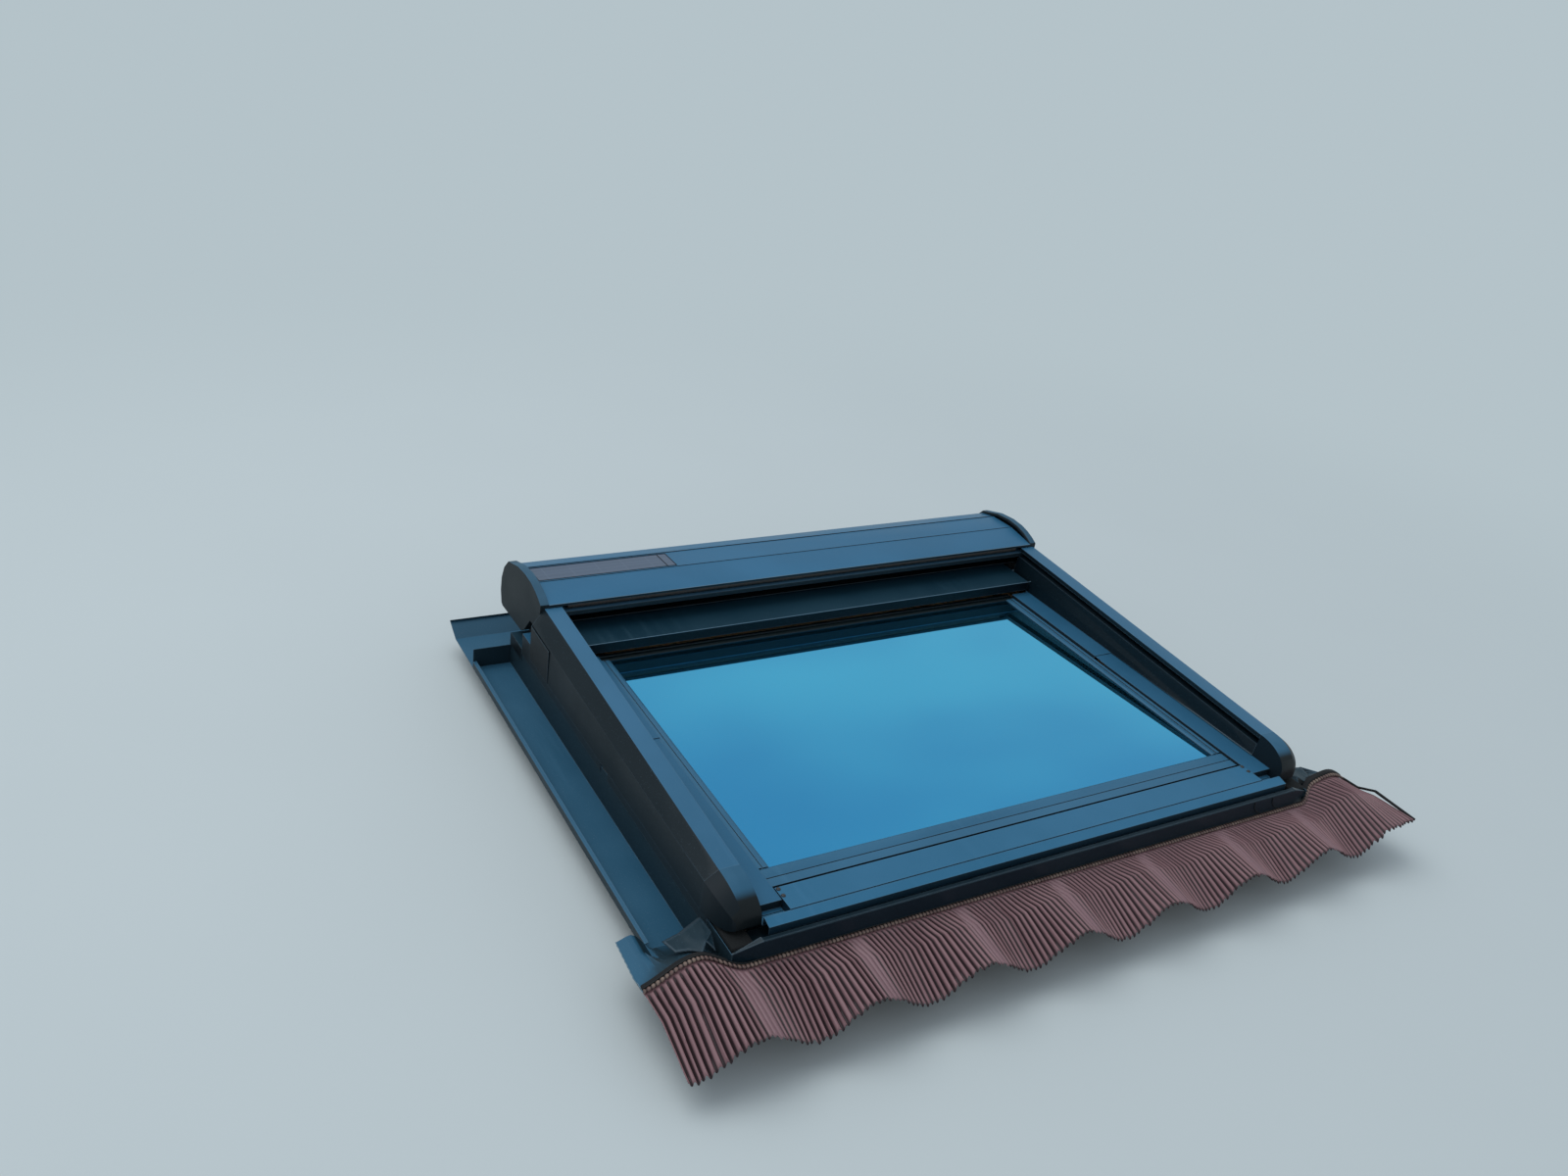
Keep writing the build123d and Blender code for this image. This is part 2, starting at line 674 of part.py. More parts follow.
# Flashing: sill section in front of the frame
def flashing_sill():
    timber = frame_high + flash_sheet
    line = [(-frame_in_y - 0.5, timber), (-frame_y + 1, timber), (-frame_y - 2, sill_high - 1.0),
            (sill_front_y + 1, sill_high), (sill_front_y, sill_high - 1.5), (sill_front_y, sill_low)]
    outline = folded(line, flash_sheet)
    half = frame_x + 1.5
    body = along_x(outline, -half, half)
    end = [(-frame_y - 1.2, timber), (-frame_y - 2, sill_high - 1.5), (sill_front_y + 0.5, sill_high - 1.5),
           (sill_front_y + 0.5, sill_low), (-frame_y - 0.4, sill_low)]
    wall = along_x(end, half - 1.5, half)
    body += wall + other_side(wall)
    turn_x = frame_x - sill_corner
    back_y = sill_front_y + sill_corner_back
    past_x = half + 1
    before = Polyline((turn_x, sill_front_y, 0), (half, back_y, 0), (past_x, back_y, 0),
                      (past_x, sill_front_y - 1, 0), (turn_x, sill_front_y - 1, 0), close=True)
    before = extrude(make_face(before), amount=sill_high + 1, dir=(0, 0, 1))
    above = along_y([(turn_x, sill_high), (half, sill_corner_high), (past_x, sill_corner_high),
                     (past_x, sill_high + 1), (turn_x, sill_high + 1)], sill_front_y - 1, -frame_y + 0.5)
    front = Polyline((turn_x, sill_front_y, 0), (half, back_y, 0), (half, back_y + flash_sheet, 0),
                     (turn_x, sill_front_y + flash_sheet, 0), close=True)
    front = Pos(0, 0, sill_low) * extrude(make_face(front), amount=sill_high - sill_low, dir=(0, 0, 1))
    lid = along_y([(turn_x, sill_high), (half, sill_corner_high), (half, sill_corner_high - flash_sheet),
                   (turn_x, sill_high - flash_sheet)], sill_front_y, -frame_y - 0.5)
    for piece in (before, above):
        body -= piece + other_side(piece)
    corner = front - above + (lid - before)
    save("flashing_sill", body + corner + other_side(corner))


def apron_top_z(x):
    """Height of the apron's upper edge: level below the sill, humped over the tiles beside it."""
    out = abs(x) - frame_x
    crest = seam_crest_left_out if x < 0 else seam_crest_right_out
    if out < crest:
        return sill_low + seam_hump * smooth((out + 18.0) / (crest + 18.0))
    return sill_low + seam_hump - seam_fall * (1 - cos(2 * pi * (out - crest) / tile_pitch))


def apron_top_y(x):
    """Place of the apron's upper edge: along the sill, then turned back up the slope beside it."""
    back = seam_back_left if x < 0 else seam_back_right
    return apron_start_y + back * smooth((abs(x) - frame_x + 15.0) / 60.0)


def shell_solid(upper, lower):
    """Closed solid between two matching grids of points, one face for each flat piece."""
    faces = []

    def flat(*points):
        faces.append(Face(Wire.make_polygon(points, close=True)))

    def skin(grid, flip):
        for a, b in zip(grid[:-1], grid[1:]):
            for i in range(len(a) - 1):
                corners = [a[i], a[i + 1], b[i + 1], b[i]]
                if flip:
                    corners.reverse()
                edge_1 = Vector(corners[1]) - Vector(corners[0])
                edge_2 = Vector(corners[2]) - Vector(corners[0])
                edge_3 = Vector(corners[3]) - Vector(corners[0])
                if abs(edge_1.cross(edge_2).normalized().dot(edge_3)) < 1e-7:
                    flat(*corners)
                else:
                    flat(corners[0], corners[1], corners[2])
                    flat(corners[0], corners[2], corners[3])

    skin(upper, False)
    skin(lower, True)
    for top, bottom in ((upper[0], lower[0]), (upper[-1], lower[-1])):
        for i in range(len(top) - 1):
            flat(top[i], top[i + 1], bottom[i + 1], bottom[i])
    for top, bottom in zip(zip(upper[:-1], upper[1:]), zip(lower[:-1], lower[1:])):
        for side in (0, -1):
            flat(top[0][side], top[1][side], bottom[1][side], bottom[0][side])
    solid = Solid(Shell(faces))
    return solid.fix() if solid.volume > 0 else Solid(Shell([-face for face in faces]))


# Rows of the apron from its seam down: share of its fall, share of the tiles' wave that it
# follows there, share of the pleats' height, and how far it lies above the tiles
apron_rows = [(0.0, 0.0, 0.35, 0.0), (0.5 * apron_bend, 0.5, 0.8, 2.0), (apron_bend, 1.0, 1.0, 4.0),
              (1.0, 1.0, 1.0, 1.6)]


def apron_place(across, row):
    """Middle of the pleats at a share of the apron's width, in one of its rows."""
    fall, wave_share, _, lift = row
    widened = min(1.0, fall / apron_bend)
    left = apron_top_left_x + (apron_left_x - apron_top_left_x) * widened
    right = apron_top_right_x + (apron_right_x - apron_top_right_x) * widened
    x = left + (right - left) * across
    edge_y = apron_edge_y + apron_right_short * smooth(2 * across - 1)
    y = apron_top_y(x) + (edge_y - apron_top_y(x)) * fall
    wave = tile_top(min(x, last_crest_x)) + lift + pleat_high
    return x, y, apron_top_z(x) * (1 - wave_share) + wave * wave_share


# Pleated apron: straight along the sill, dressed over the tile waves at its lower edge
def apron():
    columns = 2 * round((apron_right_x - apron_left_x) / pleat_pitch)
    upper, lower = [], []
    for row in apron_rows:
        top_line = []
        for i in range(columns + 1):
            x, y, z = apron_place(i / columns, row)
            z += pleat_high * row[2] * (1 if i % 2 else -1)
            top_line.append((x, y, z + apron_sheet))
        upper.append(top_line)
        lower.append([(x, y, z - apron_sheet) for x, y, z in top_line])
    save("flashing_apron", shell_solid(upper, lower))


def wing(inner_x, back_edge_x, front_edge_x):
    """Lower end of a side gutter: a sheet that climbs and widens over the next tiles."""
    steps = 16
    upper, lower = [], []
    for share in (0.0, 0.35, 0.7, 1.0):
        edge_x = back_edge_x + (front_edge_x - back_edge_x) * share
        start_x, end_x = min(inner_x, edge_x), max(inner_x, edge_x)
        line = []
        for i in range(steps + 1):
            x = start_x + (end_x - start_x) * i / steps
            y = wing_back_y + (apron_top_y(x) + fit_gap - wing_back_y) * share
            climb = max(smooth(share), wing_climb * smooth((abs(x) - gutter_x + 15.0) / 45.0))
            z = gutter_floor + (apron_top_z(x) - gutter_floor) * climb
            line.append((x, y, z))
        upper.append(line)
        lower.append([(x, y, z - flash_sheet) for x, y, z in line])
    return shell_solid(upper, lower)


# Side gutters: a floor on the battens, an upstand beside the frame and a hemmed outer edge
def flashing_sides():
    stand_x = frame_x + bracket_sheet + fit_gap
    floor = gutter_floor
    line = [(stand_x, upstand_high), (stand_x, floor - flash_sheet), (gutter_x, floor - flash_sheet),
            (gutter_x, floor + 12), (gutter_x - 6, floor + 14)]
    gutter = along_y(folded(line, flash_sheet), wing_back_y, frame_y)
    upstand = block((stand_x, sill_front_y + 6, floor + 6),
                    (stand_x + flash_sheet, wing_back_y, upstand_high + upstand_front_rise))
    inner_x = stand_x + flash_sheet + fit_gap
    save("flashing_side_right", gutter + upstand, wing(inner_x, gutter_x, apron_top_right_x))
    save("flashing_side_left", other_side(gutter + upstand), wing(-inner_x, apron_left_x, apron_top_left_x))


# Gutter behind the head of the window
def flashing_top():
    back = frame_y
    floor = gutter_floor - flash_sheet
    line = [(back, frame_high - casing_flange - fit_gap), (back, floor), (back + top_gutter_depth, floor),
            (back + top_gutter_depth + 40, floor + 20), (back + top_gutter_depth + 34, floor + 24)]
    body = along_x(folded(line, flash_sheet), -gutter_x, gutter_x)
    save("flashing_top", body)


# Black foam strips under the edges of the sheet beside the frame
def foam_strips():
    def strip(points, wide, tall):
        upper = [[], []]
        lower = [[], []]
        for x, y, z, across_x, across_y in points:
            for side in (0, 1):
                px = x + across_x * wide * side
                py = y + across_y * wide * side
                upper[side].append((px, py, z + tall))
                lower[side].append((px, py, z))
        return shell_solid(upper, lower)

    steps = 12

    def along_seam(start_x, end_x):
        places = [start_x + (end_x - start_x) * i / steps for i in range(steps + 1)]
        return [(x, apron_top_y(x) + 1.5, apron_top_z(x) + 0.2, 0, 1) for x in places]

    hump = along_seam(frame_x + 6, apron_top_right_x)
    left = along_seam(apron_top_left_x, -frame_x - 6)
    edge = []
    for row in apron_rows:
        x, y, z = apron_place(1.0, row)
        edge.append((x + fit_gap, y, z - 1.0, 1, 0))
    save("foam_strips", strip(hump, 9.0, 7.0), strip(edge, 5.0, 4.5), strip(left, 8.0, 4.0))


def rail_outline(y):
    """Section of the right-hand rail at one place along it, as a folded sheet."""
    top = rail_top(y)
    bend = max(top - rail_inner_bend, rail_foot_z + 1.0)
    crease = rail_crease(y)
    bend_x = rail_inner_x - 5.5
    outer = [(rail_side_x, rail_low), (rail_side_x - 1.0, crease), (rail_top_outer_x, top),
             (rail_inner_x, top), (bend_x, bend), (rail_foot_x, rail_foot_z)]
    s = rail_sheet
    inner = [(rail_side_x - s, rail_low), (rail_side_x - 1.0 - s, crease - 0.8),
             (rail_top_outer_x - 0.6, top - s), (rail_inner_x + s, top - s), (bend_x + s, bend),
             (rail_foot_x + s, rail_foot_z)]
    return outer + inner[::-1]


# Side rails: an extruded cover with the curtain's guide channel inside its inner wall
def rails():
    bend_y = rail_end_y + (rail_foot_z + 1.0 + rail_inner_bend - rail_top_head) / rail_slope
    stations = [rail_nose_y, bend_y, rail_end_y]
    body = loft_y([(y, rail_outline(y)) for y in stations])

    def channel(y):
        top = rail_top(y)
        floor = top - slot_top - slot_tall
        wall = slot_end_x + slot_web
        start = rail_inner_x - 1.0
        return [(start, floor - slot_web), (wall, floor - slot_web), (wall, top - 1.0),
                (slot_end_x, top - 1.0), (slot_end_x, floor), (start, floor)]

    def mouth(y):
        top = rail_top(y)
        return [(rail_foot_x, top - slot_top - slot_tall), (rail_inner_x + 3, top - slot_top - slot_tall),
                (rail_inner_x + 3, top - slot_top), (rail_foot_x, top - slot_top)]

    ends = [rail_nose_y, rail_end_y]
    body += loft_y([(y, channel(y)) for y in ends])
    body -= loft_y([(rail_nose_y - 1, mouth(rail_nose_y - 1)), (rail_end_y + 1, mouth(rail_end_y + 1))])
    save("rail_right", body)
    save("rail_left", other_side(body))
    slope_z = rail_crease(rail_end_y) - 3
    plate = along_x([(plate_low_y, rail_low + 1), (rail_end_y, rail_low + 1), (rail_end_y, slope_z),
                     (plate_low_y, rail_crease(plate_low_y) - 3)], rail_side_x, rail_side_x + plate_sheet)
    cap_x = hood_half + cap_thick + fit_gap
    rise = (rail_side_x - cap_x) * (rail_top(rail_end_y) - slope_z) / (rail_side_x - rail_top_outer_x)
    skirt_x = rail_side_x - rail_sheet
    plate += along_y([(cap_x, rail_foot_z), (skirt_x, rail_foot_z), (skirt_x, rail_low + 1),
                      (rail_side_x + plate_sheet, rail_low + 1), (rail_side_x + plate_sheet, slope_z),
                      (cap_x, slope_z + rise)], rail_end_y, rail_end_y + plate_sheet)
    save("rail_end_plates", plate, other_side(plate))


def nose_section(share, inset):
    """Section of a nose cap where its height has fallen to a share of the way from front to rail."""
    low = nose_front_low + (nose_low - nose_front_low) * share
    top = nose_front_high + (rail_top(rail_nose_y) - nose_front_high) * share - inset
    crease = nose_front_crease + (rail_crease(rail_nose_y) - nose_front_crease) * share - 0.4 * inset
    side = rail_side_x - nose_taper * (1 - share) - inset
    top_side = rail_top_outer_x - 0.4 * nose_taper * (1 - share) - 0.3 * inset
    lean = (rail_inner_x - rail_foot_x) / (rail_top(rail_nose_y) - nose_low)
    foot = rail_foot_x + inset
    if inset:
        low -= 1.0
    return [(side, low), (side - 0.5, crease), (top_side, top), (foot + lean * (top - low), top), (foot, low)]


def nose_block(inset):
    """Outside of a nose cap, or its hollow when inset: an elliptical end with a tapered outer side."""
    steps = 9
    length = nose_long - inset
    sections = [(rail_nose_y + (1.0 if inset else 0.0), nose_section(1.0, inset))]
    for i in range(1, steps + 1):
        angle = 0.5 * pi * i / steps
        sections.append((rail_nose_y - length * sin(angle), nose_section(cos(angle), inset)))
    return loft_y(sections)


# Moulded nose caps on the lower ends of the rails
def nose_caps():
    cap = nose_block(0.0) - nose_block(nose_wall)
    room = -sash_y - 4.0
    cap -= block((rail_foot_x - 1, room, nose_low - 2), (rail_foot_x + 6, rail_nose_y + 1, rail_foot_z))
    save("nose_cap_right", cap)
    save("nose_cap_left", other_side(cap))


def behind_rails(points, level):
    """Outline of the box from (y, z) points counted from the rails' head end and from a level."""
    return [(rail_end_y + y, level + z) for y, z in points]


hood_front = behind_rails([(9.0, 1.3), (0.0, 1.3), (0.0, 5.8)], rail_top_head)
hood_back = behind_rails([(70.5, 15.3), (135.5, 12.3), (172.5, 3.8), (195.5, -12.2), (206.5, -39.2)],
                         rail_top_head)
hood_back += behind_rails([(208.5, 26.5), (202.0, 3.5)], pan_z)
pan_line = behind_rails([(196.5, 19.5), (199.0, 0.0), (89.5, 0.0), (74.5, 13.0), (46.5, 46.0), (17.5, 50.0)],
                        pan_z)


def facet_z(y):
    """Height of the hood's middle facet, where the solar panel lies."""
    (y0, z0), (y1, z1) = hood_back[0], hood_back[1]
    return z0 + (z1 - z0) * (y - y0) / (y1 - y0)


def panel_outline(extra):
    low, high = panel_low_y - extra, panel_high_y + extra
    return [(low, facet_z(low)), (high, facet_z(high)), (high, facet_z(high) - panel_thick),
            (low, facet_z(low) - panel_thick)]


# Shutter box: folded hood, pan below it, two end caps, solar panel and mouth brush
def shutter_box():
    hood = along_x(folded(hood_front + hood_back, -hood_sheet), -hood_half, hood_half)
    cut = [(y, z + (2.0 if i < 2 else -2.0)) for i, (y, z) in enumerate(panel_outline(fit_gap))]
    hood -= along_x(cut, panel_start_x - fit_gap, panel_end_x + fit_gap)
    save("box_hood", hood)
    save("solar_panel", along_x(panel_outline(0.0), panel_start_x, panel_end_x))
    pan = along_x(folded(pan_line, -pan_sheet), -hood_half, hood_half)
    save("box_pan", pan)
    rim = behind_rails([(2.0, 52.5), (26.5, 46.0), (47.2, 45.5), (74.5, 12.5), (90.5, 1.5), (196.5, -2.0),
                        (203.5, 1.5), (210.0, 26.0)], pan_z)
    rim += behind_rails([(208.0, -40.2), (196.5, -13.7), (175.5, 8.3), (124.5, 23.3), (85.5, 27.4),
                         (53.5, 25.8), (32.0, 20.8), (14.5, 14.3), (0.0, 6.8)], rail_top_head)
    cap = along_x(rim, hood_half, hood_half + cap_thick)
    middle = (roll_y - 5.0, roll_z)
    shrunk = [(middle[0] + (y - middle[0]) * 0.93, middle[1] + (z - middle[1]) * 0.9) for y, z in rim]
    cap -= along_x(shrunk, hood_half - 1, hood_half + cap_thick - cap_wall)
    cap += rod((hood_half, roll_y, roll_z), (hood_half + cap_thick - 1, roll_y, roll_z), tube_r + 2)
    save("end_cap_right", cap)
    save("end_cap_left", other_side(cap))
    brush = block((-casing_half, rail_end_y + 2.5, hood_front[0][1] - brush_long),
                  (casing_half, rail_end_y + 7, hood_front[0][1]))
    save("mouth_brush", brush)


# Winding gear: tube, tubular motor in its left end, bearing at its right end, wound curtain
def winding():
    middle = (roll_y, roll_z)
    tube = rod((-tube_half, *middle), (tube_half, *middle), tube_r)
    tube -= rod((-tube_half - 1, *middle), (tube_half + 1, *middle), tube_r - tube_sheet)
    plug = rod((tube_half - 30, *middle), (tube_half, *middle), tube_r - tube_sheet / 2)
    plug -= rod((tube_half - 31, *middle), (tube_half + 1, *middle), tube_pin_r + running_gap)
    save("winding_tube", tube + plug)
    motor_r = tube_r - tube_sheet - 1.0
    motor = rod((-tube_half + 0.5, *middle), (-tube_half + 280, *middle), motor_r)
    motor += rod((-hood_half, *middle), (-tube_half - 1.5, *middle), tube_r)
    motor += rod((-tube_half - 2, *middle), (-tube_half + 1, *middle), motor_r - 3)
    save("tube_motor", motor)
    idler = rod((tube_half + 1.5, *middle), (hood_half, *middle), tube_r - 4)
    idler += rod((tube_half - 25, *middle), (tube_half + 2, *middle), tube_pin_r)
    save("idler_bearing", idler)

    pitch = slat_thick + slat_turn_gap
    flats = 14
    turns = (roll_r - tube_r - slat_thick - 2 * slat_turn_gap) / pitch
    start_r = tube_r + slat_thick / 2 + 1.1
    steps = int(turns * flats)
    centre = []
    for i in range(steps + 1):
        angle = 2 * pi * i / flats + pi / 2
        radius = start_r + pitch * i / flats
        centre.append((roll_y - radius * cos(angle), roll_z + radius * sin(angle)))
    one = offset_line(centre, slat_thick / 2)
    two = offset_line(centre, -slat_thick / 2)
    save("slat_roll", along_x(one + two[::-1], -tube_half + 5, tube_half - 5))


# Battery and control unit of the solar drive, on the pan behind the roll
def battery():
    low = pan_z + pan_sheet
    end_x = hood_half - battery_in
    front_y = roll_y + roll_r + battery_gap
    save("battery_box", block((end_x - battery_long, front_y, low),
                              (end_x, front_y + battery_deep, low + battery_tall)))


# Curtain bar, with the first slats above it; both run in the rails' channels
def curtain_bar():
    def row(y, thick, deep, half):
        middle = rail_top(y + deep / 2) - slot_top - slot_tall / 2
        rise = rail_slope * deep / 2
        points = [(y, middle - rise - thick / 2), (y + deep, middle + rise - thick / 2),
                  (y + deep, middle + rise + thick / 2), (y, middle - rise + thick / 2)]
        return along_x(points, -half, half)

    save("curtain_bar", row(bar_low_y, bar_thick, bar_deep, bar_half))
    slats = []
    for i in range(2):
        y = bar_low_y + bar_deep + 0.3 + i * lead_slat_pitch
        slats.append(row(y, slat_thick, lead_slat_pitch - 0.3, bar_half))
    save("lead_slats", *slats)


# Hinges at the head that let the whole shutter lift with the sash
def shutter_hinges():
    fixed, moving, pins = [], [], []
    third = hinge_barrel_long / 3
    for x in (-hinge_x, hinge_x):
        low_x = x - hinge_barrel_long / 2
        high_x = x + hinge_barrel_long / 2
        face = frame_y + casing_sheet
        leaf = block((low_x, face, frame_high - casing_flange), (high_x, face + 2.5, frame_high + 1.0))
        for start in (low_x, high_x - third):
            ring = rod((start, hinge_y, hinge_z), (start + third, hinge_y, hinge_z), hinge_barrel_r)
            ring += block((start, face, frame_high - 2.0), (start + third, face + 2.5, hinge_z))
            ring -= rod((start - 1, hinge_y, hinge_z), (start + third + 1, hinge_y, hinge_z), hinge_pin_r)
            leaf += ring
        pin = rod((low_x - 2, hinge_y, hinge_z), (high_x + 2, hinge_y, hinge_z), hinge_pin_r)
        fixed += [leaf + pin]
        start = low_x + third + fit_gap
        end = low_x + 2 * third - fit_gap
        flap = rod((start, hinge_y, hinge_z), (end, hinge_y, hinge_z), hinge_barrel_r)
        flap += block((start, hinge_y - 2, hinge_z + 3), (end, hinge_y + 30, pan_z - pan_sheet))
        flap -= rod((start - 1, hinge_y, hinge_z), (end + 1, hinge_y, hinge_z), hinge_pin_r + running_gap)
        moving.append(flap)
    save("hinge_bases", *fixed)
    save("hinge_lifts", *moving)


frame_boards()
frame_seal()
brackets()
sash_members()
lock_and_latch()
glazing()
glazing_trims()
pivots()
side_covers()
bottom_cover()
top_casing()
flap_and_bar()
flashing_sill()
apron()
flashing_sides()
flashing_top()
foam_strips()
rails()
nose_caps()
shutter_box()
winding()
battery()
curtain_bar()
shutter_hinges()
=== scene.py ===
import math
import random

import bmesh
import bpy
from mathutils import Matrix, Vector


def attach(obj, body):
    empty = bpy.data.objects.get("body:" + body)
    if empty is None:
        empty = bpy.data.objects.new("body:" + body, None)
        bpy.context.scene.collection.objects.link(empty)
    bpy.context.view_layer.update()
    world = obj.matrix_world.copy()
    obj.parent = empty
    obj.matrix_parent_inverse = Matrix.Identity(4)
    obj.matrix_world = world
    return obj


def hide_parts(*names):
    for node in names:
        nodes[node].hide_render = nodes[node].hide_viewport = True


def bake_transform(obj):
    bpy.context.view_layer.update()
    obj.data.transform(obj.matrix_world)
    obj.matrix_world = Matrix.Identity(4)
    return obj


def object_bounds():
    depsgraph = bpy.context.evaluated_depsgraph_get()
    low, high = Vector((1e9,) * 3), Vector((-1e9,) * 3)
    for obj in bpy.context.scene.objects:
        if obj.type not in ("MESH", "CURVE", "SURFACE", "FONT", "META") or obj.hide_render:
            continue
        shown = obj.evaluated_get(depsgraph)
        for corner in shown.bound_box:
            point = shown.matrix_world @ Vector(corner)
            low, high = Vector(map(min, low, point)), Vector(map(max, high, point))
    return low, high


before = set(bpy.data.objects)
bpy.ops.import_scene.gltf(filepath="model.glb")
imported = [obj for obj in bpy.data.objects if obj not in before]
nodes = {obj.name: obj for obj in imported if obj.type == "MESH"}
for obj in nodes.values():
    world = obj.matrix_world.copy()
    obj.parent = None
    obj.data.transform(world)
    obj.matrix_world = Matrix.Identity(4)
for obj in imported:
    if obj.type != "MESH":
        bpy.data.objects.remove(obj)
cad_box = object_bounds()

# Where the window is looked at from: a person standing on the roof below it and to its left,
# with a phone's wide lens. The axes are given in the window's own frame, in metres.
photo_width_pixels = 1600
focal_pixels = 1312
eye = Vector((-1.2930, -1.5472, 1.2843))
look_right = Vector((0.8652, -0.4827, 0.1359))
look_down = Vector((-0.1142, -0.4535, -0.8839))
look_out = look_right.cross(look_down)
camera_data = bpy.data.cameras.new("phone_camera")
camera_data.sensor_width = 36.0
camera_data.lens = camera_data.sensor_width * focal_pixels / photo_width_pixels
camera_data.clip_end = 200.0
camera = bpy.data.objects.new("phone_camera", camera_data)
camera.matrix_world = Matrix.Translation(eye) @ Matrix(
    (look_right, -look_down, -look_out)).transposed().to_4x4()
bpy.context.scene.collection.objects.link(camera)
bpy.context.scene.camera = camera

# The studio: a broad pale paper floor that runs out into an even backdrop of the same tone,
# and one wide soft lamp high on the left, the bright part of an overcast sky.
paper_colour = (0.60, 0.658, 0.655, 1)
paper_bounce = (0.22, 0.24, 0.24, 1)
backdrop_colour = (0.46, 0.545, 0.585, 1)
sky_light = (0.78, 0.86, 0.96, 1)
lamp_width = 6.5
lamp_watts = 255.0
lamp_place = (-2.6, 2.0, 7.4)
floor_half = 60.0
fade_start, fade_end = 1.2, 3.4
world = bpy.data.worlds.new("even_sky")
world.use_nodes = True
bpy.context.scene.world = world
bpy.context.scene.view_settings.view_transform = "Standard"

sky_data = bpy.data.lights.new("sky_lamp", "AREA")
sky_data.size = lamp_width
sky_data.energy = lamp_watts
sky_data.color = (0.96, 0.98, 1.0)
sky = bpy.data.objects.new("sky_lamp", sky_data)
sky.location = lamp_place
sky.rotation_euler = (-sky.location).to_track_quat("-Z", "Y").to_euler()
bpy.context.scene.collection.objects.link(sky)


def feed(tree, socket, value):
    """Give a socket a plain value, or what another node's socket puts out."""
    if isinstance(value, bpy.types.NodeSocket):
        tree.links.new(value, socket)
    else:
        socket.default_value = value


def add_node(tree, kind, takes=None, **settings):
    """New node in a tree, with what its sockets take and its other settings."""
    node = tree.nodes.new(kind)
    for name, value in settings.items():
        setattr(node, name, value)
    for name, value in (takes or {}).items():
        feed(tree, node.inputs[name], value)
    return node


def new_material(name, **plain):
    """Material with a principled shader and the values that are the same all over it."""
    material = bpy.data.materials.new(name)
    material.use_nodes = True
    shader = material.node_tree.nodes["Principled BSDF"]
    for socket, value in plain.items():
        shader.inputs[socket.replace("_", " ")].default_value = value
    return material, material.node_tree, shader


def ramp(tree, value, start, end):
    """Value stretched so that start becomes 0 and end becomes 1."""
    stretch = add_node(tree, "ShaderNodeMapRange", {"Value": value, "From Min": start, "From Max": end})
    stretch.interpolation_type = "SMOOTHSTEP"
    return stretch.outputs["Result"]


def object_place(tree):
    """Where a point lies in the window's own frame, for patterns."""
    return add_node(tree, "ShaderNodeTexCoord").outputs["Object"]


def noise(tree, vector, scale, detail, distortion=0.0):
    """Cloudy pattern from 0 to 1."""
    takes = {"Vector": vector, "Scale": scale, "Detail": detail, "Distortion": distortion}
    return add_node(tree, "ShaderNodeTexNoise", takes).outputs["Fac"]


def blend_colour(tree, share, one, two):
    """First colour at share 0, second at share 1."""
    mix = add_node(tree, "ShaderNodeMix", data_type="RGBA")
    for number, value in ((0, share), (6, one), (7, two)):
        feed(tree, mix.inputs[number], value)
    return mix.outputs[2]


def math_node(tree, operation, one, two=0.0):
    """Result of one sum with two numbers or sockets."""
    return add_node(tree, "ShaderNodeMath", {0: one, 1: two}, operation=operation).outputs[0]


tree = world.node_tree
light = tree.nodes["Background"]
light.inputs["Color"].default_value = sky_light
light.inputs["Strength"].default_value = 0.62
seen = add_node(tree, "ShaderNodeBackground", {"Color": backdrop_colour, "Strength": 1.0})
ray = add_node(tree, "ShaderNodeLightPath").outputs
seen_share = math_node(tree, "MAXIMUM", ray["Is Camera Ray"],
                       math_node(tree, "MAXIMUM", ray["Is Glossy Ray"], ray["Is Transmission Ray"]))
both = add_node(tree, "ShaderNodeMixShader", {0: seen_share, 1: light.outputs[0], 2: seen.outputs[0]})
tree.links.new(both.outputs[0], tree.nodes["World Output"].inputs["Surface"])

paper, tree, shader = new_material("floor_paper", Roughness=0.9)
shader.inputs["Specular IOR Level"].default_value = 0.1
place = object_place(tree)
mottle = noise(tree, place, 2.0, 3.0)
tint = blend_colour(tree, mottle, paper_colour, tuple(c * 1.03 for c in paper_colour[:3]) + (1,))
bounce = add_node(tree, "ShaderNodeLightPath").outputs["Is Diffuse Ray"]
tree.links.new(blend_colour(tree, bounce, tint, paper_bounce), shader.inputs["Base Color"])
away = add_node(tree, "ShaderNodeVectorMath", {0: place}, operation="LENGTH").outputs["Value"]
far_share = ramp(tree, away, fade_start, fade_end)
glow = add_node(tree, "ShaderNodeEmission", {"Color": backdrop_colour, "Strength": 1.0})
fade = add_node(tree, "ShaderNodeMixShader", {0: far_share, 1: shader.outputs[0], 2: glow.outputs[0]})
tree.links.new(fade.outputs[0], tree.nodes["Material Output"].inputs["Surface"])
floor_mesh = bpy.data.meshes.new("floor")
floor_bm = bmesh.new()
bmesh.ops.create_grid(floor_bm, x_segments=1, y_segments=1, size=floor_half)
bmesh.ops.translate(floor_bm, verts=floor_bm.verts, vec=(0, 0, cad_box[0].z))
floor_bm.to_mesh(floor_mesh)
floor_bm.free()
floor_mesh.materials.append(paper)
floor = bpy.data.objects.new("floor", floor_mesh)
bpy.context.scene.collection.objects.link(floor)


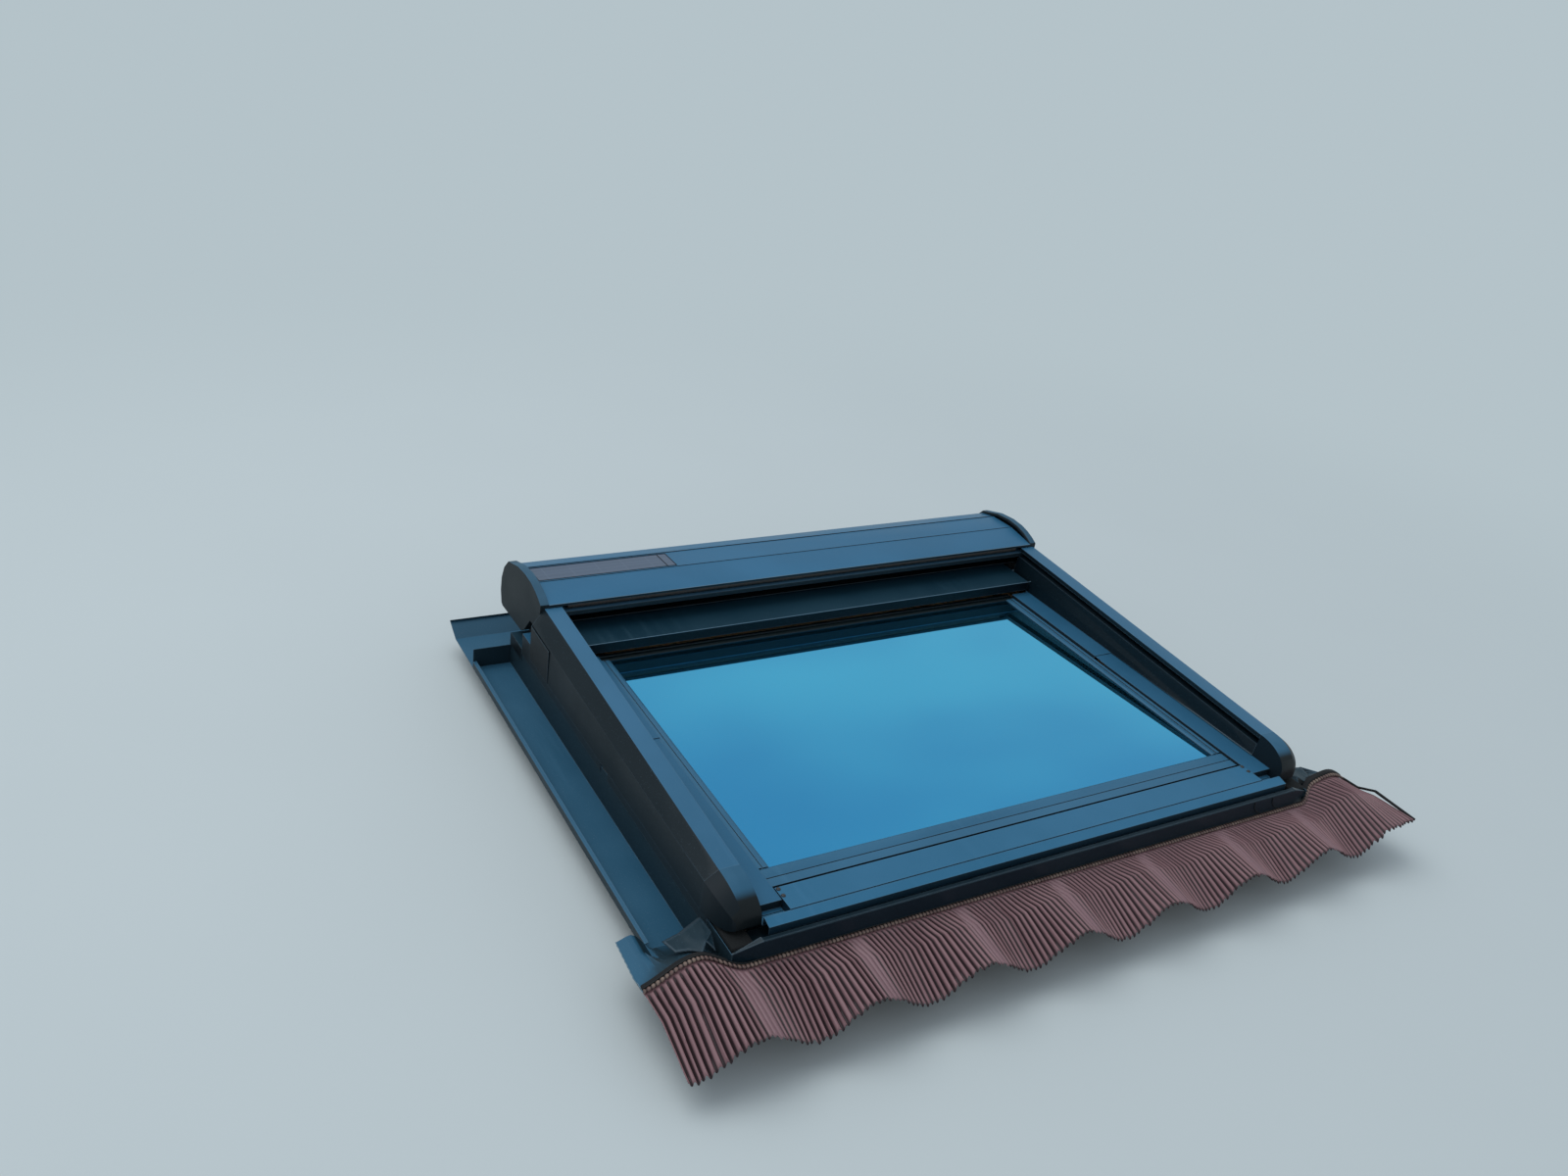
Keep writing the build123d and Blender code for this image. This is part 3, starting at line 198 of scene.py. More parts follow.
# Timber frame: four planed pine boards, clear lacquered, the head and sill boards set
# between the long side boards. Its arrises are broken by hand sanding.
def start_group(name, takes, gives):
    """Empty shader node group with its input and output nodes."""
    group = bpy.data.node_groups.new(name, "ShaderNodeTree")
    for label, value in takes.items():
        kind = {1: "Float", 3: "Vector", 4: "Color"}[len(value) if hasattr(value, "__len__") else 1]
        socket = group.interface.new_socket(label, in_out="INPUT", socket_type="NodeSocket" + kind)
        socket.default_value = value
    for label, kind in gives.items():
        group.interface.new_socket(label, in_out="OUTPUT", socket_type="NodeSocket" + kind)
    source = group.nodes.new("NodeGroupInput")
    result = group.nodes.new("NodeGroupOutput")
    return group, source.outputs, result.inputs


def use_group(tree, shader, group, bump=0.0, distance=0.001, **values):
    """Place an effect in a material and feed the shader with what it puts out."""
    effect = tree.nodes.new("ShaderNodeGroup")
    effect.node_tree = group
    for label, value in values.items():
        effect.inputs[label].default_value = value
    tree.links.new(effect.outputs["Colour"], shader.inputs["Base Color"])
    tree.links.new(effect.outputs["Roughness"], shader.inputs["Roughness"])
    if bump:
        relief = add_node(tree, "ShaderNodeBump", {"Height": effect.outputs["Height"], "Strength": bump,
                                                   "Distance": distance})
        tree.links.new(relief.outputs["Normal"], shader.inputs["Normal"])
    return effect


def between(tree, value, low, high):
    """Value from 0 to 1 brought between two others."""
    return add_node(tree, "ShaderNodeMapRange", {"Value": value, "To Min": low, "To Max": high}).outputs[0]


gives_all = {"Colour": "Color", "Roughness": "Float", "Height": "Float"}
timber_grain, takes, puts = start_group(
    "timber_grain", {"Early wood": (0.62, 0.40, 0.20, 1), "Late wood": (0.36, 0.18, 0.07, 1),
                     "Stretch": (30.0, 1.0, 30.0)}, gives_all)
place = object_place(timber_grain)
drawn = add_node(timber_grain, "ShaderNodeMapping", {"Vector": place, "Scale": takes["Stretch"]}).outputs[0]
waver = noise(timber_grain, drawn, 0.7, 4.0, 0.6)
rings = math_node(timber_grain, "FRACT", math_node(timber_grain, "MULTIPLY", waver, 11.0))
late = ramp(timber_grain, rings, 0.45, 0.98)
fibre = noise(timber_grain, drawn, 14.0, 5.0)
wood = blend_colour(timber_grain, late, takes["Early wood"], takes["Late wood"])
shade = ramp(timber_grain, fibre, 0.35, 0.75)
shade_share = math_node(timber_grain, "MULTIPLY", shade, 0.35)
shaded = blend_colour(timber_grain, shade_share, wood, takes["Late wood"])
timber_grain.links.new(shaded, puts["Colour"])
timber_grain.links.new(between(timber_grain, fibre, 0.28, 0.5), puts["Roughness"])
timber_grain.links.new(math_node(timber_grain, "ADD", math_node(timber_grain, "MULTIPLY", late, 0.6), fibre),
                       puts["Height"])


def pine(name, stretch):
    """Lacquered pine whose grain runs along the axis that is stretched least."""
    material, tree, shader = new_material(name, Coat_Weight=0.25, Coat_Roughness=0.15)
    use_group(tree, shader, timber_grain, 0.25, 0.0004, Stretch=stretch)
    return material


pine_up = pine("pine_grain_up", (30.0, 1.2, 30.0))
pine_across = pine("pine_grain_across", (1.2, 30.0, 30.0))


def finish_mesh(piece, sharp_angle=38.0):
    """Smooth shading with creases kept at the sharp folds."""
    for face in piece.data.polygons:
        face.use_smooth = True
    piece.data.set_sharp_from_angle(angle=math.radians(sharp_angle))


def round_edges(piece, width, segments, angle):
    """Round all edges sharper than an angle in degrees."""
    bevel = piece.modifiers.new("broken_edges", "BEVEL")
    bevel.width = width
    bevel.segments = segments
    bevel.limit_method = "ANGLE"
    bevel.angle_limit = math.radians(angle)
    bevel.use_clamp_overlap = True
    bevel.harden_normals = True


def soften(node, name, body, material, width, segments=2, crease=30.0):
    """Copy of a solid with its edges rounded, which takes the solid's place."""
    mesh = nodes[node].data.copy()
    shape = bmesh.new()
    shape.from_mesh(mesh)
    bmesh.ops.remove_doubles(shape, verts=shape.verts, dist=1e-6)
    bmesh.ops.dissolve_limit(shape, angle_limit=math.radians(0.6), use_dissolve_boundaries=False,
                             verts=shape.verts, edges=shape.edges)
    shape.to_mesh(mesh)
    shape.free()
    mesh.materials.clear()
    mesh.materials.append(material)
    piece = bpy.data.objects.new(name, mesh)
    bpy.context.scene.collection.objects.link(piece)
    finish_mesh(piece, crease + 6.0)
    round_edges(piece, width, segments, crease)
    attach(piece, body)
    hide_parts(node)
    return piece


for side in ("left", "right"):
    soften(f"frame_{side}_board", f"side_board_{side}", "frame", pine_up, 0.0015)
for end in ("head", "sill"):
    soften(f"frame_{end}_board", f"{end}_board", "frame", pine_across, 0.0015)


# Frame seal: a black rubber lip set in a groove all round the frame's inner faces, a
# little below the sash's outer edge.
def coat(material, *names):
    """Give a finish to solids whose shape stays as it is."""
    for name in names:
        for slot in nodes[name].material_slots:
            slot.material = material


pores, takes, puts = start_group("pores", {"Colour": (0.012, 0.012, 0.012, 1), "Bloom": (0.05, 0.05, 0.05, 1),
                                           "Scale": 900.0, "Dull": 0.6}, gives_all)
place = object_place(pores)
cells = add_node(pores, "ShaderNodeTexVoronoi", {"Vector": place, "Scale": takes["Scale"]})
cloud = noise(pores, place, 25.0, 4.0)
bloomed = blend_colour(pores, ramp(pores, cloud, 0.45, 0.8), takes["Colour"], takes["Bloom"])
uneven = math_node(pores, "ADD", takes["Dull"], math_node(pores, "MULTIPLY", cloud, 0.25))
pores.links.new(bloomed, puts["Colour"])
pores.links.new(uneven, puts["Roughness"])
pores.links.new(cells.outputs["Distance"], puts["Height"])


def rubber(name, colour, bloom, scale, dull, bump):
    """Dull black rubber, foam or nylon with fine pores and a pale bloom."""
    material, tree, shader = new_material(name)
    use_group(tree, shader, pores, bump, 0.0006, Colour=colour, Bloom=bloom, Scale=scale, Dull=dull)
    return material


seal_rubber = rubber("seal_rubber", (0.010, 0.010, 0.011, 1), (0.035, 0.035, 0.036, 1), 1400.0, 0.45, 0.1)
coat(seal_rubber, "frame_seal", "glass_bedding")

# Mounting brackets: four angles bent from galvanised steel plate, two on each side board,
# with a pair of screw holes in each foot.
spangle, takes, puts = start_group(
    "zinc_spangle", {"Colour": (0.42, 0.44, 0.46, 1), "Dark": (0.28, 0.30, 0.32, 1), "Scale": 120.0},
    gives_all)
place = object_place(spangle)
flakes = add_node(spangle, "ShaderNodeTexVoronoi", {"Vector": place, "Scale": takes["Scale"]})
tone = add_node(spangle, "ShaderNodeSeparateColor", {"Color": flakes.outputs["Color"]}).outputs["Red"]
haze = noise(spangle, place, 30.0, 5.0)
flecks = math_node(spangle, "MULTIPLY", tone, haze)
spangle.links.new(blend_colour(spangle, flecks, takes["Colour"], takes["Dark"]), puts["Colour"])
spangle.links.new(between(spangle, tone, 0.32, 0.55), puts["Roughness"])
spangle.links.new(haze, puts["Height"])
zinc, tree, shader = new_material("galvanised_steel", Metallic=0.9)
use_group(tree, shader, spangle, 0.08, 0.0004)
soften("mounting_brackets", "bracket_angles", "frame", zinc, 0.0006)

# Sash: the swinging pine frame that carries the glass, rebated for it on top and rounded
# under its foot so that it clears the sill as it turns.
for side in ("left", "right"):
    soften(f"sash_{side}_stile", f"stile_{side}", "sash", pine_up, 0.0015)
for end in ("top", "bottom"):
    soften(f"sash_{end}_rail", f"rail_{end}", "sash", pine_across, 0.0015)

# Lock, latch bolt and striker: pressed and turned steel let into the top rail and the
# head board, out of the weather.
bright_zinc, tree, shader = new_material("bright_zinc", Metallic=1.0)
use_group(tree, shader, spangle, 0.04, 0.0003, Colour=(0.55, 0.55, 0.56, 1), Dark=(0.44, 0.44, 0.46, 1),
          Scale=400.0)
soften("lock_case", "lock_housing", "sash", bright_zinc, 0.0005)
soften("latch_bolt", "bolt", "latch", bright_zinc, 0.0004)
soften("striker_plate", "striker", "frame", bright_zinc, 0.0004)

# Insulating glass: an outer pane with a blue sun-control coating, a clear inner pane, and
# between their edges a slotted aluminium bar that holds the drying grains.
def new_piece(name, shape, material, body, sharp_angle=38.0):
    """Make an object of a finished bmesh and let it ride on a body."""
    mesh = bpy.data.meshes.new(name)
    shape.to_mesh(mesh)
    shape.free()
    mesh.materials.append(material)
    piece = bpy.data.objects.new(name, mesh)
    bpy.context.scene.collection.objects.link(piece)
    finish_mesh(piece, sharp_angle)
    if body:
        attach(piece, body)
    return piece


# The panes' colour carries a painted sky reflection: brighter in soft clouds and towards the upper right,
# darker lower left.
sky_reflection_glass, takes, puts = start_group(
    "sky_reflection_glass", {"Colour": (0.070, 0.420, 0.780, 1), "Bright": (0.120, 0.660, 0.990, 1)}, gives_all)
place = object_place(sky_reflection_glass)
drift = add_node(sky_reflection_glass, "ShaderNodeMapping", {"Vector": place, "Location": (0.35, -0.55, 0.0),
                                                  "Scale": (1.5, 2.4, 1.0)}).outputs[0]
reflected_clouds = noise(sky_reflection_glass, drift, 1.1, 2.0)
rise = add_node(sky_reflection_glass, "ShaderNodeSeparateXYZ", {"Vector": place}).outputs
slanted = math_node(sky_reflection_glass, "ADD", rise["Y"], math_node(sky_reflection_glass, "MULTIPLY", rise["X"], 0.35))
upper = ramp(sky_reflection_glass, slanted, -0.20, 0.10)
both_shares = math_node(sky_reflection_glass, "ADD", ramp(sky_reflection_glass, reflected_clouds, 0.3, 0.7), upper)
reflection_share = math_node(sky_reflection_glass, "MULTIPLY", both_shares, 0.5)
film = noise(sky_reflection_glass, place, 220.0, 3.0)
smears = math_node(sky_reflection_glass, "MULTIPLY", ramp(sky_reflection_glass, film, 0.5, 0.9), 0.12)
sky_reflection_glass.links.new(blend_colour(sky_reflection_glass, reflection_share, takes["Colour"], takes["Bright"]), puts["Colour"])
sky_reflection_glass.links.new(smears, puts["Roughness"])
sky_reflection_glass.links.new(film, puts["Height"])
coated_glass, tree, shader = new_material("coated_glass", Metallic=0.94, Transmission_Weight=0.75, IOR=1.5)
use_group(tree, shader, sky_reflection_glass)
coat(coated_glass, "outer_pane")
clear_glass, tree, shader = new_material("clear_glass", Transmission_Weight=1.0, IOR=1.5)
use_group(tree, shader, sky_reflection_glass, Colour=(0.80, 0.89, 0.88, 1), Bright=(0.84, 0.91, 0.90, 1))
coat(clear_glass, "inner_pane")

brushed, takes, puts = start_group(
    "brushed_metal", {"Colour": (0.30, 0.31, 0.32, 1), "Streak": (0.40, 0.41, 0.42, 1),
                      "Stretch": (4.0, 600.0, 600.0)}, gives_all)
place = object_place(brushed)
drawn = add_node(brushed, "ShaderNodeMapping", {"Vector": place, "Scale": takes["Stretch"]}).outputs[0]
lines = noise(brushed, drawn, 1.0, 4.0)
brushed.links.new(blend_colour(brushed, lines, takes["Colour"], takes["Streak"]), puts["Colour"])
brushed.links.new(between(brushed, lines, 0.22, 0.48), puts["Roughness"])
brushed.links.new(lines, puts["Height"])


def bare_metal(name, colour, streak, stretch):
    """Brushed or drawn aluminium, its lines along the axis that is stretched least."""
    material, tree, shader = new_material(name, Metallic=1.0)
    use_group(tree, shader, brushed, 0.06, 0.0003, Colour=colour, Streak=streak, Stretch=stretch)
    return material


spacer_metal = bare_metal("spacer_aluminium", (0.42, 0.43, 0.44, 1), (0.55, 0.56, 0.57, 1),
                          (40.0, 40.0, 900.0))
coat(spacer_metal, "glass_spacer")

# Painted sheet: the outside of the window is folded aluminium with a baked slate paint,
# bleached and streaked by rain where it faces the sky, with fine dust in its texture. Its upright
# sides are painted darker as shade, and its folds carry a painted highlight.
def lit_from_above_share(tree, low, high):
    """Painted light: share from 0 on upright sides, which take painted shade, to 1 on faces turned up to the
    light.
    """
    turned = add_node(tree, "ShaderNodeTexCoord").outputs["Normal"]
    return ramp(tree, add_node(tree, "ShaderNodeSeparateXYZ", {"Vector": turned}).outputs["Z"], low, high)


painted, takes, puts = start_group(
    "painted_sheet", {"Colour": (0.035, 0.055, 0.075, 1), "Bleached": (0.06, 0.085, 0.105, 1),
                      "Sheltered": (0.014, 0.022, 0.026, 1), "Dust_and_highlight": (0.16, 0.25, 0.32, 1), "Streaks": 0.5,
                      "Specks": 0.3, "Gloss": 0.34}, gives_all)
place = object_place(painted)
cloud = noise(painted, place, 5.0, 5.0)
rain = add_node(painted, "ShaderNodeMapping", {"Vector": place, "Scale": (60.0, 3.0, 14.0)}).outputs[0]
runs = noise(painted, rain, 1.0, 5.0)
run_share = math_node(painted, "MULTIPLY", ramp(painted, runs, 0.42, 0.78), takes["Streaks"])
cloud_share = math_node(painted, "MULTIPLY", ramp(painted, cloud, 0.3, 0.75), 0.7)
weather = math_node(painted, "MAXIMUM", run_share, cloud_share)
dust = noise(painted, place, 520.0, 2.0)
dust_share = math_node(painted, "MULTIPLY", ramp(painted, dust, 0.62, 0.78), takes["Specks"])
# Folds get a painted highlight: where the rounded normal turns from the true one, the colour is lifted toward
# the pale tone of the dust specks.
rounded = add_node(painted, "ShaderNodeBevel", {"Radius": 0.0025}, samples=4).outputs["Normal"]
true_normal = add_node(painted, "ShaderNodeNewGeometry").outputs["Normal"]
meet = add_node(painted, "ShaderNodeVectorMath", {0: rounded, 1: true_normal},
                operation="DOT_PRODUCT").outputs["Value"]
fold_highlight_share = math_node(painted, "MULTIPLY", ramp(painted, meet, 0.97, 0.80), 0.35)
lit_top_colour = blend_colour(painted, weather, takes["Colour"], takes["Bleached"])
# Faces turned away from straight up take the painted shade colour.
lit_and_shaded_colour = blend_colour(painted, lit_from_above_share(painted, 0.82, 0.94), takes["Sheltered"], lit_top_colour)
dust_and_highlight_share = math_node(painted, "MAXIMUM", dust_share, fold_highlight_share)
dust_and_highlight_colour = blend_colour(painted, dust_and_highlight_share, lit_and_shaded_colour, takes["Dust_and_highlight"])
painted.links.new(dust_and_highlight_colour, puts["Colour"])
painted.links.new(math_node(painted, "ADD", takes["Gloss"], math_node(painted, "MULTIPLY", weather, 0.22)),
                  puts["Roughness"])
peel = noise(painted, place, 1300.0, 2.0)
relief = math_node(painted, "ADD", peel, math_node(painted, "MULTIPLY", dust_share, 0.8))
painted.links.new(relief, puts["Height"])


def paint(name, colour, bleached, shaded_side=(0.013, 0.021, 0.026), gloss=0.34, streaks=0.5, specks=0.22):
    """Baked paint: its colour, what the sun bleached it to, and the darker colour painted on its upright
    sides as shade.
    """
    material, tree, shader = new_material(name, Metallic=0.1, Specular_IOR_Level=0.25)
    use_group(tree, shader, painted, 0.10, 0.0004, Colour=(*colour, 1), Bleached=(*bleached, 1),
              Sheltered=(*shaded_side, 1), Gloss=gloss, Streaks=streaks, Specks=specks)
    return material


# Glazing trims: four extruded and painted aluminium strips screwed to the sash on tape,
# with a fine step along each, that hold the glass down.
trim_paint = paint("trim_paint", (0.036, 0.140, 0.240), (0.052, 0.180, 0.300), gloss=0.3, streaks=0.6)
# The top trim is painted near black, unlike the other three: painted shade from the casing's lip above it.
top_trim_shaded_paint = paint("top_trim_shaded_paint", (0.002, 0.007, 0.008), (0.004, 0.011, 0.012), (0.002, 0.005, 0.006),
                       0.4)
for side in ("left", "right", "bottom"):
    soften(f"glass_trim_{side}", f"trim_{side}", "sash", trim_paint, 0.0004)
soften("glass_trim_top", "trim_top", "sash", top_trim_shaded_paint, 0.0004)

# Centre pivots: a steel block with a turned pin in each stile, in a housing screwed to
# the side board, both hidden below the side covers.
soften("pivot_pins", "pivot_blocks", "sash", bright_zinc, 0.0008, 3)
soften("pivot_housings", "pivot_bearings", "frame", zinc, 0.0008, 3)

# Side covers: folded painted sheets clipped over the stiles and the side boards. The
# lower pair swings with the sash, and its tongues run under the fixed upper pair.
cover_paint = paint("cover_paint", (0.024, 0.122, 0.222), (0.040, 0.158, 0.275), gloss=0.36, streaks=0.6)
for side in ("left", "right"):
    soften(f"lower_side_cover_{side}", f"lower_cover_{side}", "sash", cover_paint, 0.0004)
    soften(f"upper_side_cover_{side}", f"upper_cover_{side}", "frame", cover_paint, 0.0004)
clip_plastic = rubber("clip_nylon", (0.03, 0.03, 0.032, 1), (0.05, 0.05, 0.05, 1), 2600.0, 0.4, 0.05)
soften("sash_cover_clips", "sash_clips", "sash", clip_plastic, 0.001)
soften("frame_cover_clips", "frame_clips", "frame", clip_plastic, 0.001)

# Bottom cover: the painted sheet along the sash's foot, with a fine step line and a drip
# edge in front, between the ends of the side covers.
foot_paint = paint("foot_paint", (0.028, 0.148, 0.262), (0.046, 0.186, 0.325), (0.007, 0.024, 0.040), 0.33)
soften("sash_bottom_cover", "bottom_cover", "sash", foot_paint, 0.0005)

# Cover screws: a pair of black screws with domed heads at each end of the bottom cover, which
# hold it to the side covers.
screw_radius = 0.0036
screw_x, screw_z = 0.4695, 0.1058
for side, turn in (("left", -1), ("right", 1)):
    for number, y in enumerate((-0.3865, -0.4010)):
        head = bmesh.new()
        bmesh.ops.create_uvsphere(head, u_segments=16, v_segments=8, radius=screw_radius)
        bmesh.ops.scale(head, verts=head.verts, vec=(1, 1, 0.55))
        bmesh.ops.translate(head, verts=head.verts, vec=(turn * screw_x, y, screw_z))
        new_piece(f"cover_screw_{side}_{number + 1}", head, clip_plastic, "sash")

# Top casing: a broad folded sheet that carries rain from the head of the window over the
# sash's top rail, closed at both ends.
def thin_line(name, points, radius, material, body):
    """Thin round line along some points: a joint, a bead of sealant or a bent rim."""
    path = bpy.data.curves.new(name, "CURVE")
    path.dimensions = "3D"
    spline = path.splines.new("POLY")
    spline.points.add(len(points) - 1)
    for point, place in zip(spline.points, points):
        point.co = (*place, 1)
    path.bevel_depth = radius
    path.bevel_resolution = 1
    path.use_fill_caps = True
    holder = bpy.data.objects.new(name + "_path", path)
    bpy.context.scene.collection.objects.link(holder)
    bpy.context.view_layer.update()
    mesh = bpy.data.meshes.new_from_object(holder)
    bpy.data.objects.remove(holder)
    mesh.materials.clear()
    mesh.materials.append(material)
    piece = bpy.data.objects.new(name, mesh)
    bpy.context.scene.collection.objects.link(piece)
    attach(piece, body)
    return piece


casing_half = 0.5735
casing_lip_y, casing_lip_z = 0.2760, 0.1302
# The casing's paint is much darker than the other sheets: painted shade from the hood over it.
casing_shaded_paint = paint("casing_shaded_paint", (0.008, 0.036, 0.058), (0.013, 0.050, 0.076), (0.002, 0.006, 0.009),
                     0.38, 0.8)
soften("top_casing", "head_casing", "frame", casing_shaded_paint, 0.0006)
# The pale edge paint is bare metal on the wing's cut edge, and a painted highlight on the casing's and the
# hood's lips.
edge_wear_and_highlight = paint("edge_wear_and_highlight", (0.16, 0.27, 0.34), (0.24, 0.36, 0.44), (0.12, 0.20, 0.26), 0.35, 0.3)
thin_line("casing_lip_highlight", [(x, casing_lip_y, casing_lip_z) for x in (-casing_half, casing_half)], 0.0006,
          edge_wear_and_highlight, "frame")

# Corner seals: a block of black foam closes each end of the pan, between the guide rail and
# the casing; it is glued to the pan.
# This black serves real foam, sealant and gaskets, and also lines of painted shadow on the hood and the sill.
black_seal_and_shadow_line = rubber("black_seal_and_shadow_line", (0.0015, 0.002, 0.003, 1), (0.004, 0.005, 0.007, 1), 1800.0, 0.6, 0.05)
seal_x, seal_y, seal_z = 0.5325, 0.3660, 0.1265
seal_size = (0.021, 0.024, 0.020)
for side, turn in (("left", -1), ("right", 1)):
    block = bmesh.new()
    seat = Matrix.Translation((turn * seal_x, seal_y, seal_z)) @ Matrix.Diagonal((*seal_size, 1))
    bmesh.ops.create_cube(block, size=1.0, matrix=seat)
    bmesh.ops.bevel(block, geom=block.edges[:], offset=0.003, segments=2, profile=0.5, affect="EDGES",
                    material=-1)
    new_piece(f"corner_seal_{side}", block, black_seal_and_shadow_line, "shutter", 40.0)

# Ventilation flap and pull bar: a pine flap let into the top rail on three steel hinges,
# and below it the aluminium tube that a hand pulls to open the flap, then the window.
soften("vent_flap", "flap", "vent_flap", pine_across, 0.001)
bar_metal = bare_metal("pull_bar_aluminium", (0.50, 0.51, 0.52, 1), (0.62, 0.63, 0.64, 1),
                       (5.0, 700.0, 700.0))
soften("pull_bar", "hand_bar", "vent_flap", bar_metal, 0.0008, 3)
soften("flap_hinges", "flap_knuckles", "sash", bright_zinc, 0.0005)

# Flashing: the sill section in front of the frame, a gutter down each side with a wing
# that climbs over the next tiles, and the gutter behind the head.
sill_paint = paint("sill_paint", (0.010, 0.024, 0.034), (0.026, 0.042, 0.054), (0.006, 0.018, 0.028),
                   0.3, 0.6)
soften("flashing_sill", "sill_flashing", "frame", sill_paint, 0.0006)
fold_y = -0.4604
# Two black arcs on the sill's right end are painted shade at the folds of its sheet.
for name, start_x in (("sill_fold_shadow_outer", 0.470), ("sill_fold_shadow_inner", 0.425)):
    bend = ((0.003, 0.0905), (0.005, 0.080), (0.013, 0.070), (0.029, 0.062), (0.045, 0.0585))
    thin_line(name, [(start_x + x, fold_y, z) for x, z in bend], 0.0009, black_seal_and_shadow_line, "frame")
gutter_paint = paint("gutter_paint", (0.024, 0.105, 0.180), (0.040, 0.138, 0.225), (0.012, 0.030, 0.042),
                     0.45, 0.7, 0.4)
for side in ("left", "right"):
    soften(f"flashing_side_{side}", f"side_flashing_{side}", "frame", gutter_paint, 0.0003)
soften("flashing_top", "top_flashing", "frame", gutter_paint, 0.0004)

# Corner gussets: a scrap of the same sheet folded by hand over each lower corner, between
# the wing, the side board and the end of the sill, with its free edge left as it was cut.
def thicken(piece, name, thickness):
    """Give an open sheet its thickness, towards the inside."""
    wall = piece.modifiers.new(name, "SOLIDIFY")
    wall.thickness = thickness
    wall.offset = -1.0


sheet_gauge = 0.0008
corner_paint = paint("corner_paint", (0.010, 0.030, 0.044), (0.020, 0.048, 0.066), (0.004, 0.010, 0.015),
                     0.4, 0.5)
dent = 0.0003
plug_x, plug_y, plug_z = 0.554, -0.4138, 0.0778
plug_size = (0.034, 0.0710, 0.0112)
corner_shade_foam = rubber("corner_foam", (0.003, 0.004, 0.005, 1), (0.008, 0.009, 0.010, 1), 420.0, 0.8, 0.4)
for side, turn in (("left", -1), ("right", 1)):
    gusset = bmesh.new()
    a, b, c, d, e, f, g, h, i = (gusset.verts.new((turn * x, y, z)) for x, y, z in (
        (0.644, -0.386, 0.0656), (0.617, -0.380, 0.0672), (0.5785, -0.366, 0.0735),
        (0.5785, -0.402, 0.0765), (0.5845, -0.4310, 0.0680), (0.5935, -0.4170, 0.0760),
        (0.6035, -0.4300, 0.0715), (0.6180, -0.4180, 0.0690), (0.6360, -0.4120, 0.0662)))
    for corners in ((a, b, h, i), (b, f, g, h), (b, c, f), (c, d, f), (d, e, f)):
        gusset.faces.new(corners)
    bmesh.ops.triangulate(gusset, faces=gusset.faces)
    bmesh.ops.subdivide_edges(gusset, edges=gusset.edges, cuts=5, use_grid_fill=True)
    dents = random.Random(11)
    for vert in gusset.verts:
        vert.co += Vector([dents.uniform(-1, 1) for _ in range(3)]) * dent
    bmesh.ops.recalc_face_normals(gusset, faces=gusset.faces)
    scrap = new_piece(f"corner_gusset_{side}", gusset, corner_paint, "frame", 16.0)
    thicken(scrap, "sheet", sheet_gauge)
    # The black foam block below each gusset fills the corner gap and also stands in for the shade there.
    plug = bmesh.new()
    bmesh.ops.create_cube(plug, size=1.0)
    bmesh.ops.scale(plug, verts=plug.verts, vec=plug_size)
    bmesh.ops.translate(plug, verts=plug.verts, vec=(turn * plug_x, plug_y, plug_z))
    bmesh.ops.bevel(plug, geom=plug.edges[:], offset=0.003, segments=3, profile=0.5, affect="EDGES",
                    material=-1)
    new_piece(f"corner_foam_{side}", plug, corner_shade_foam, "frame")

# Pleated apron: thin aluminium coated mauve-brown and crimped into fine pleats, so that it can
# be dressed over the waves of the tiles. The pleats are drawn out flat on the far flank of each
# wave, and the lower edge is cut ragged.
window_half = 0.570
tile_pitch = 0.182
tile_crest = -0.588
last_crest = tile_crest + 7 * tile_pitch
apron_spread = 0.36
apron_left, apron_right = -0.695, 0.697
apron_edge_y = -0.578
sill_front_y = -0.4613
pleat_pitch = 0.0088
pleat_tall = 0.0024


def smooth(t):
    """Soft step from 0 to 1."""
    t = min(max(t, 0.0), 1.0)
    return t * t * (3 - 2 * t)


def seam_point(x):
    """Upper edge of the apron: level below the sill, humped over the tiles beside it."""
    out = abs(x) - window_half
    crest, back = (0.051, 0.018) if x < 0 else (0.085, 0.028)
    y = sill_front_y + back * smooth((out + 0.015) / 0.060)
    if out < crest:
        return y, 0.057 + 0.020 * smooth((out + 0.018) / (crest + 0.018))
    return y, 0.077 - 0.0175 * (1 - math.cos(2 * math.pi * (out - crest) / tile_pitch))


def apron_point(across, down):
    """Place on the apron for shares of its width and of its fall, before the pleats."""
    spread = min(1.0, down / apron_spread)
    left = apron_left + 0.005 * spread
    right = apron_right + 0.038 * spread
    x = left + (right - left) * across
    top_y, top_z = seam_point(x)
    edge_y = apron_edge_y + 0.011 * smooth(2 * across - 1)
    lift = 0.0040 * spread - 0.0024 * smooth((down - apron_spread) / (1 - apron_spread))
    tile = 0.030 + 0.020 * math.cos(2 * math.pi * (min(x, last_crest) - tile_crest) / tile_pitch)
    y = top_y + (edge_y - top_y) * down
    return x, y, top_z * (1 - down) + (tile + lift + 0.0022) * down


def pleats_open(x):
    """How far the pleats are drawn flat: 1 on the far flank of a wave, 0 on the near one."""
    if x > last_crest:
        return 0.0
    phase = (x - tile_crest) / tile_pitch % 1.0
    return 0.8 * smooth((phase - 0.04) / 0.05) * (1 - smooth((phase - 0.15) / 0.10))


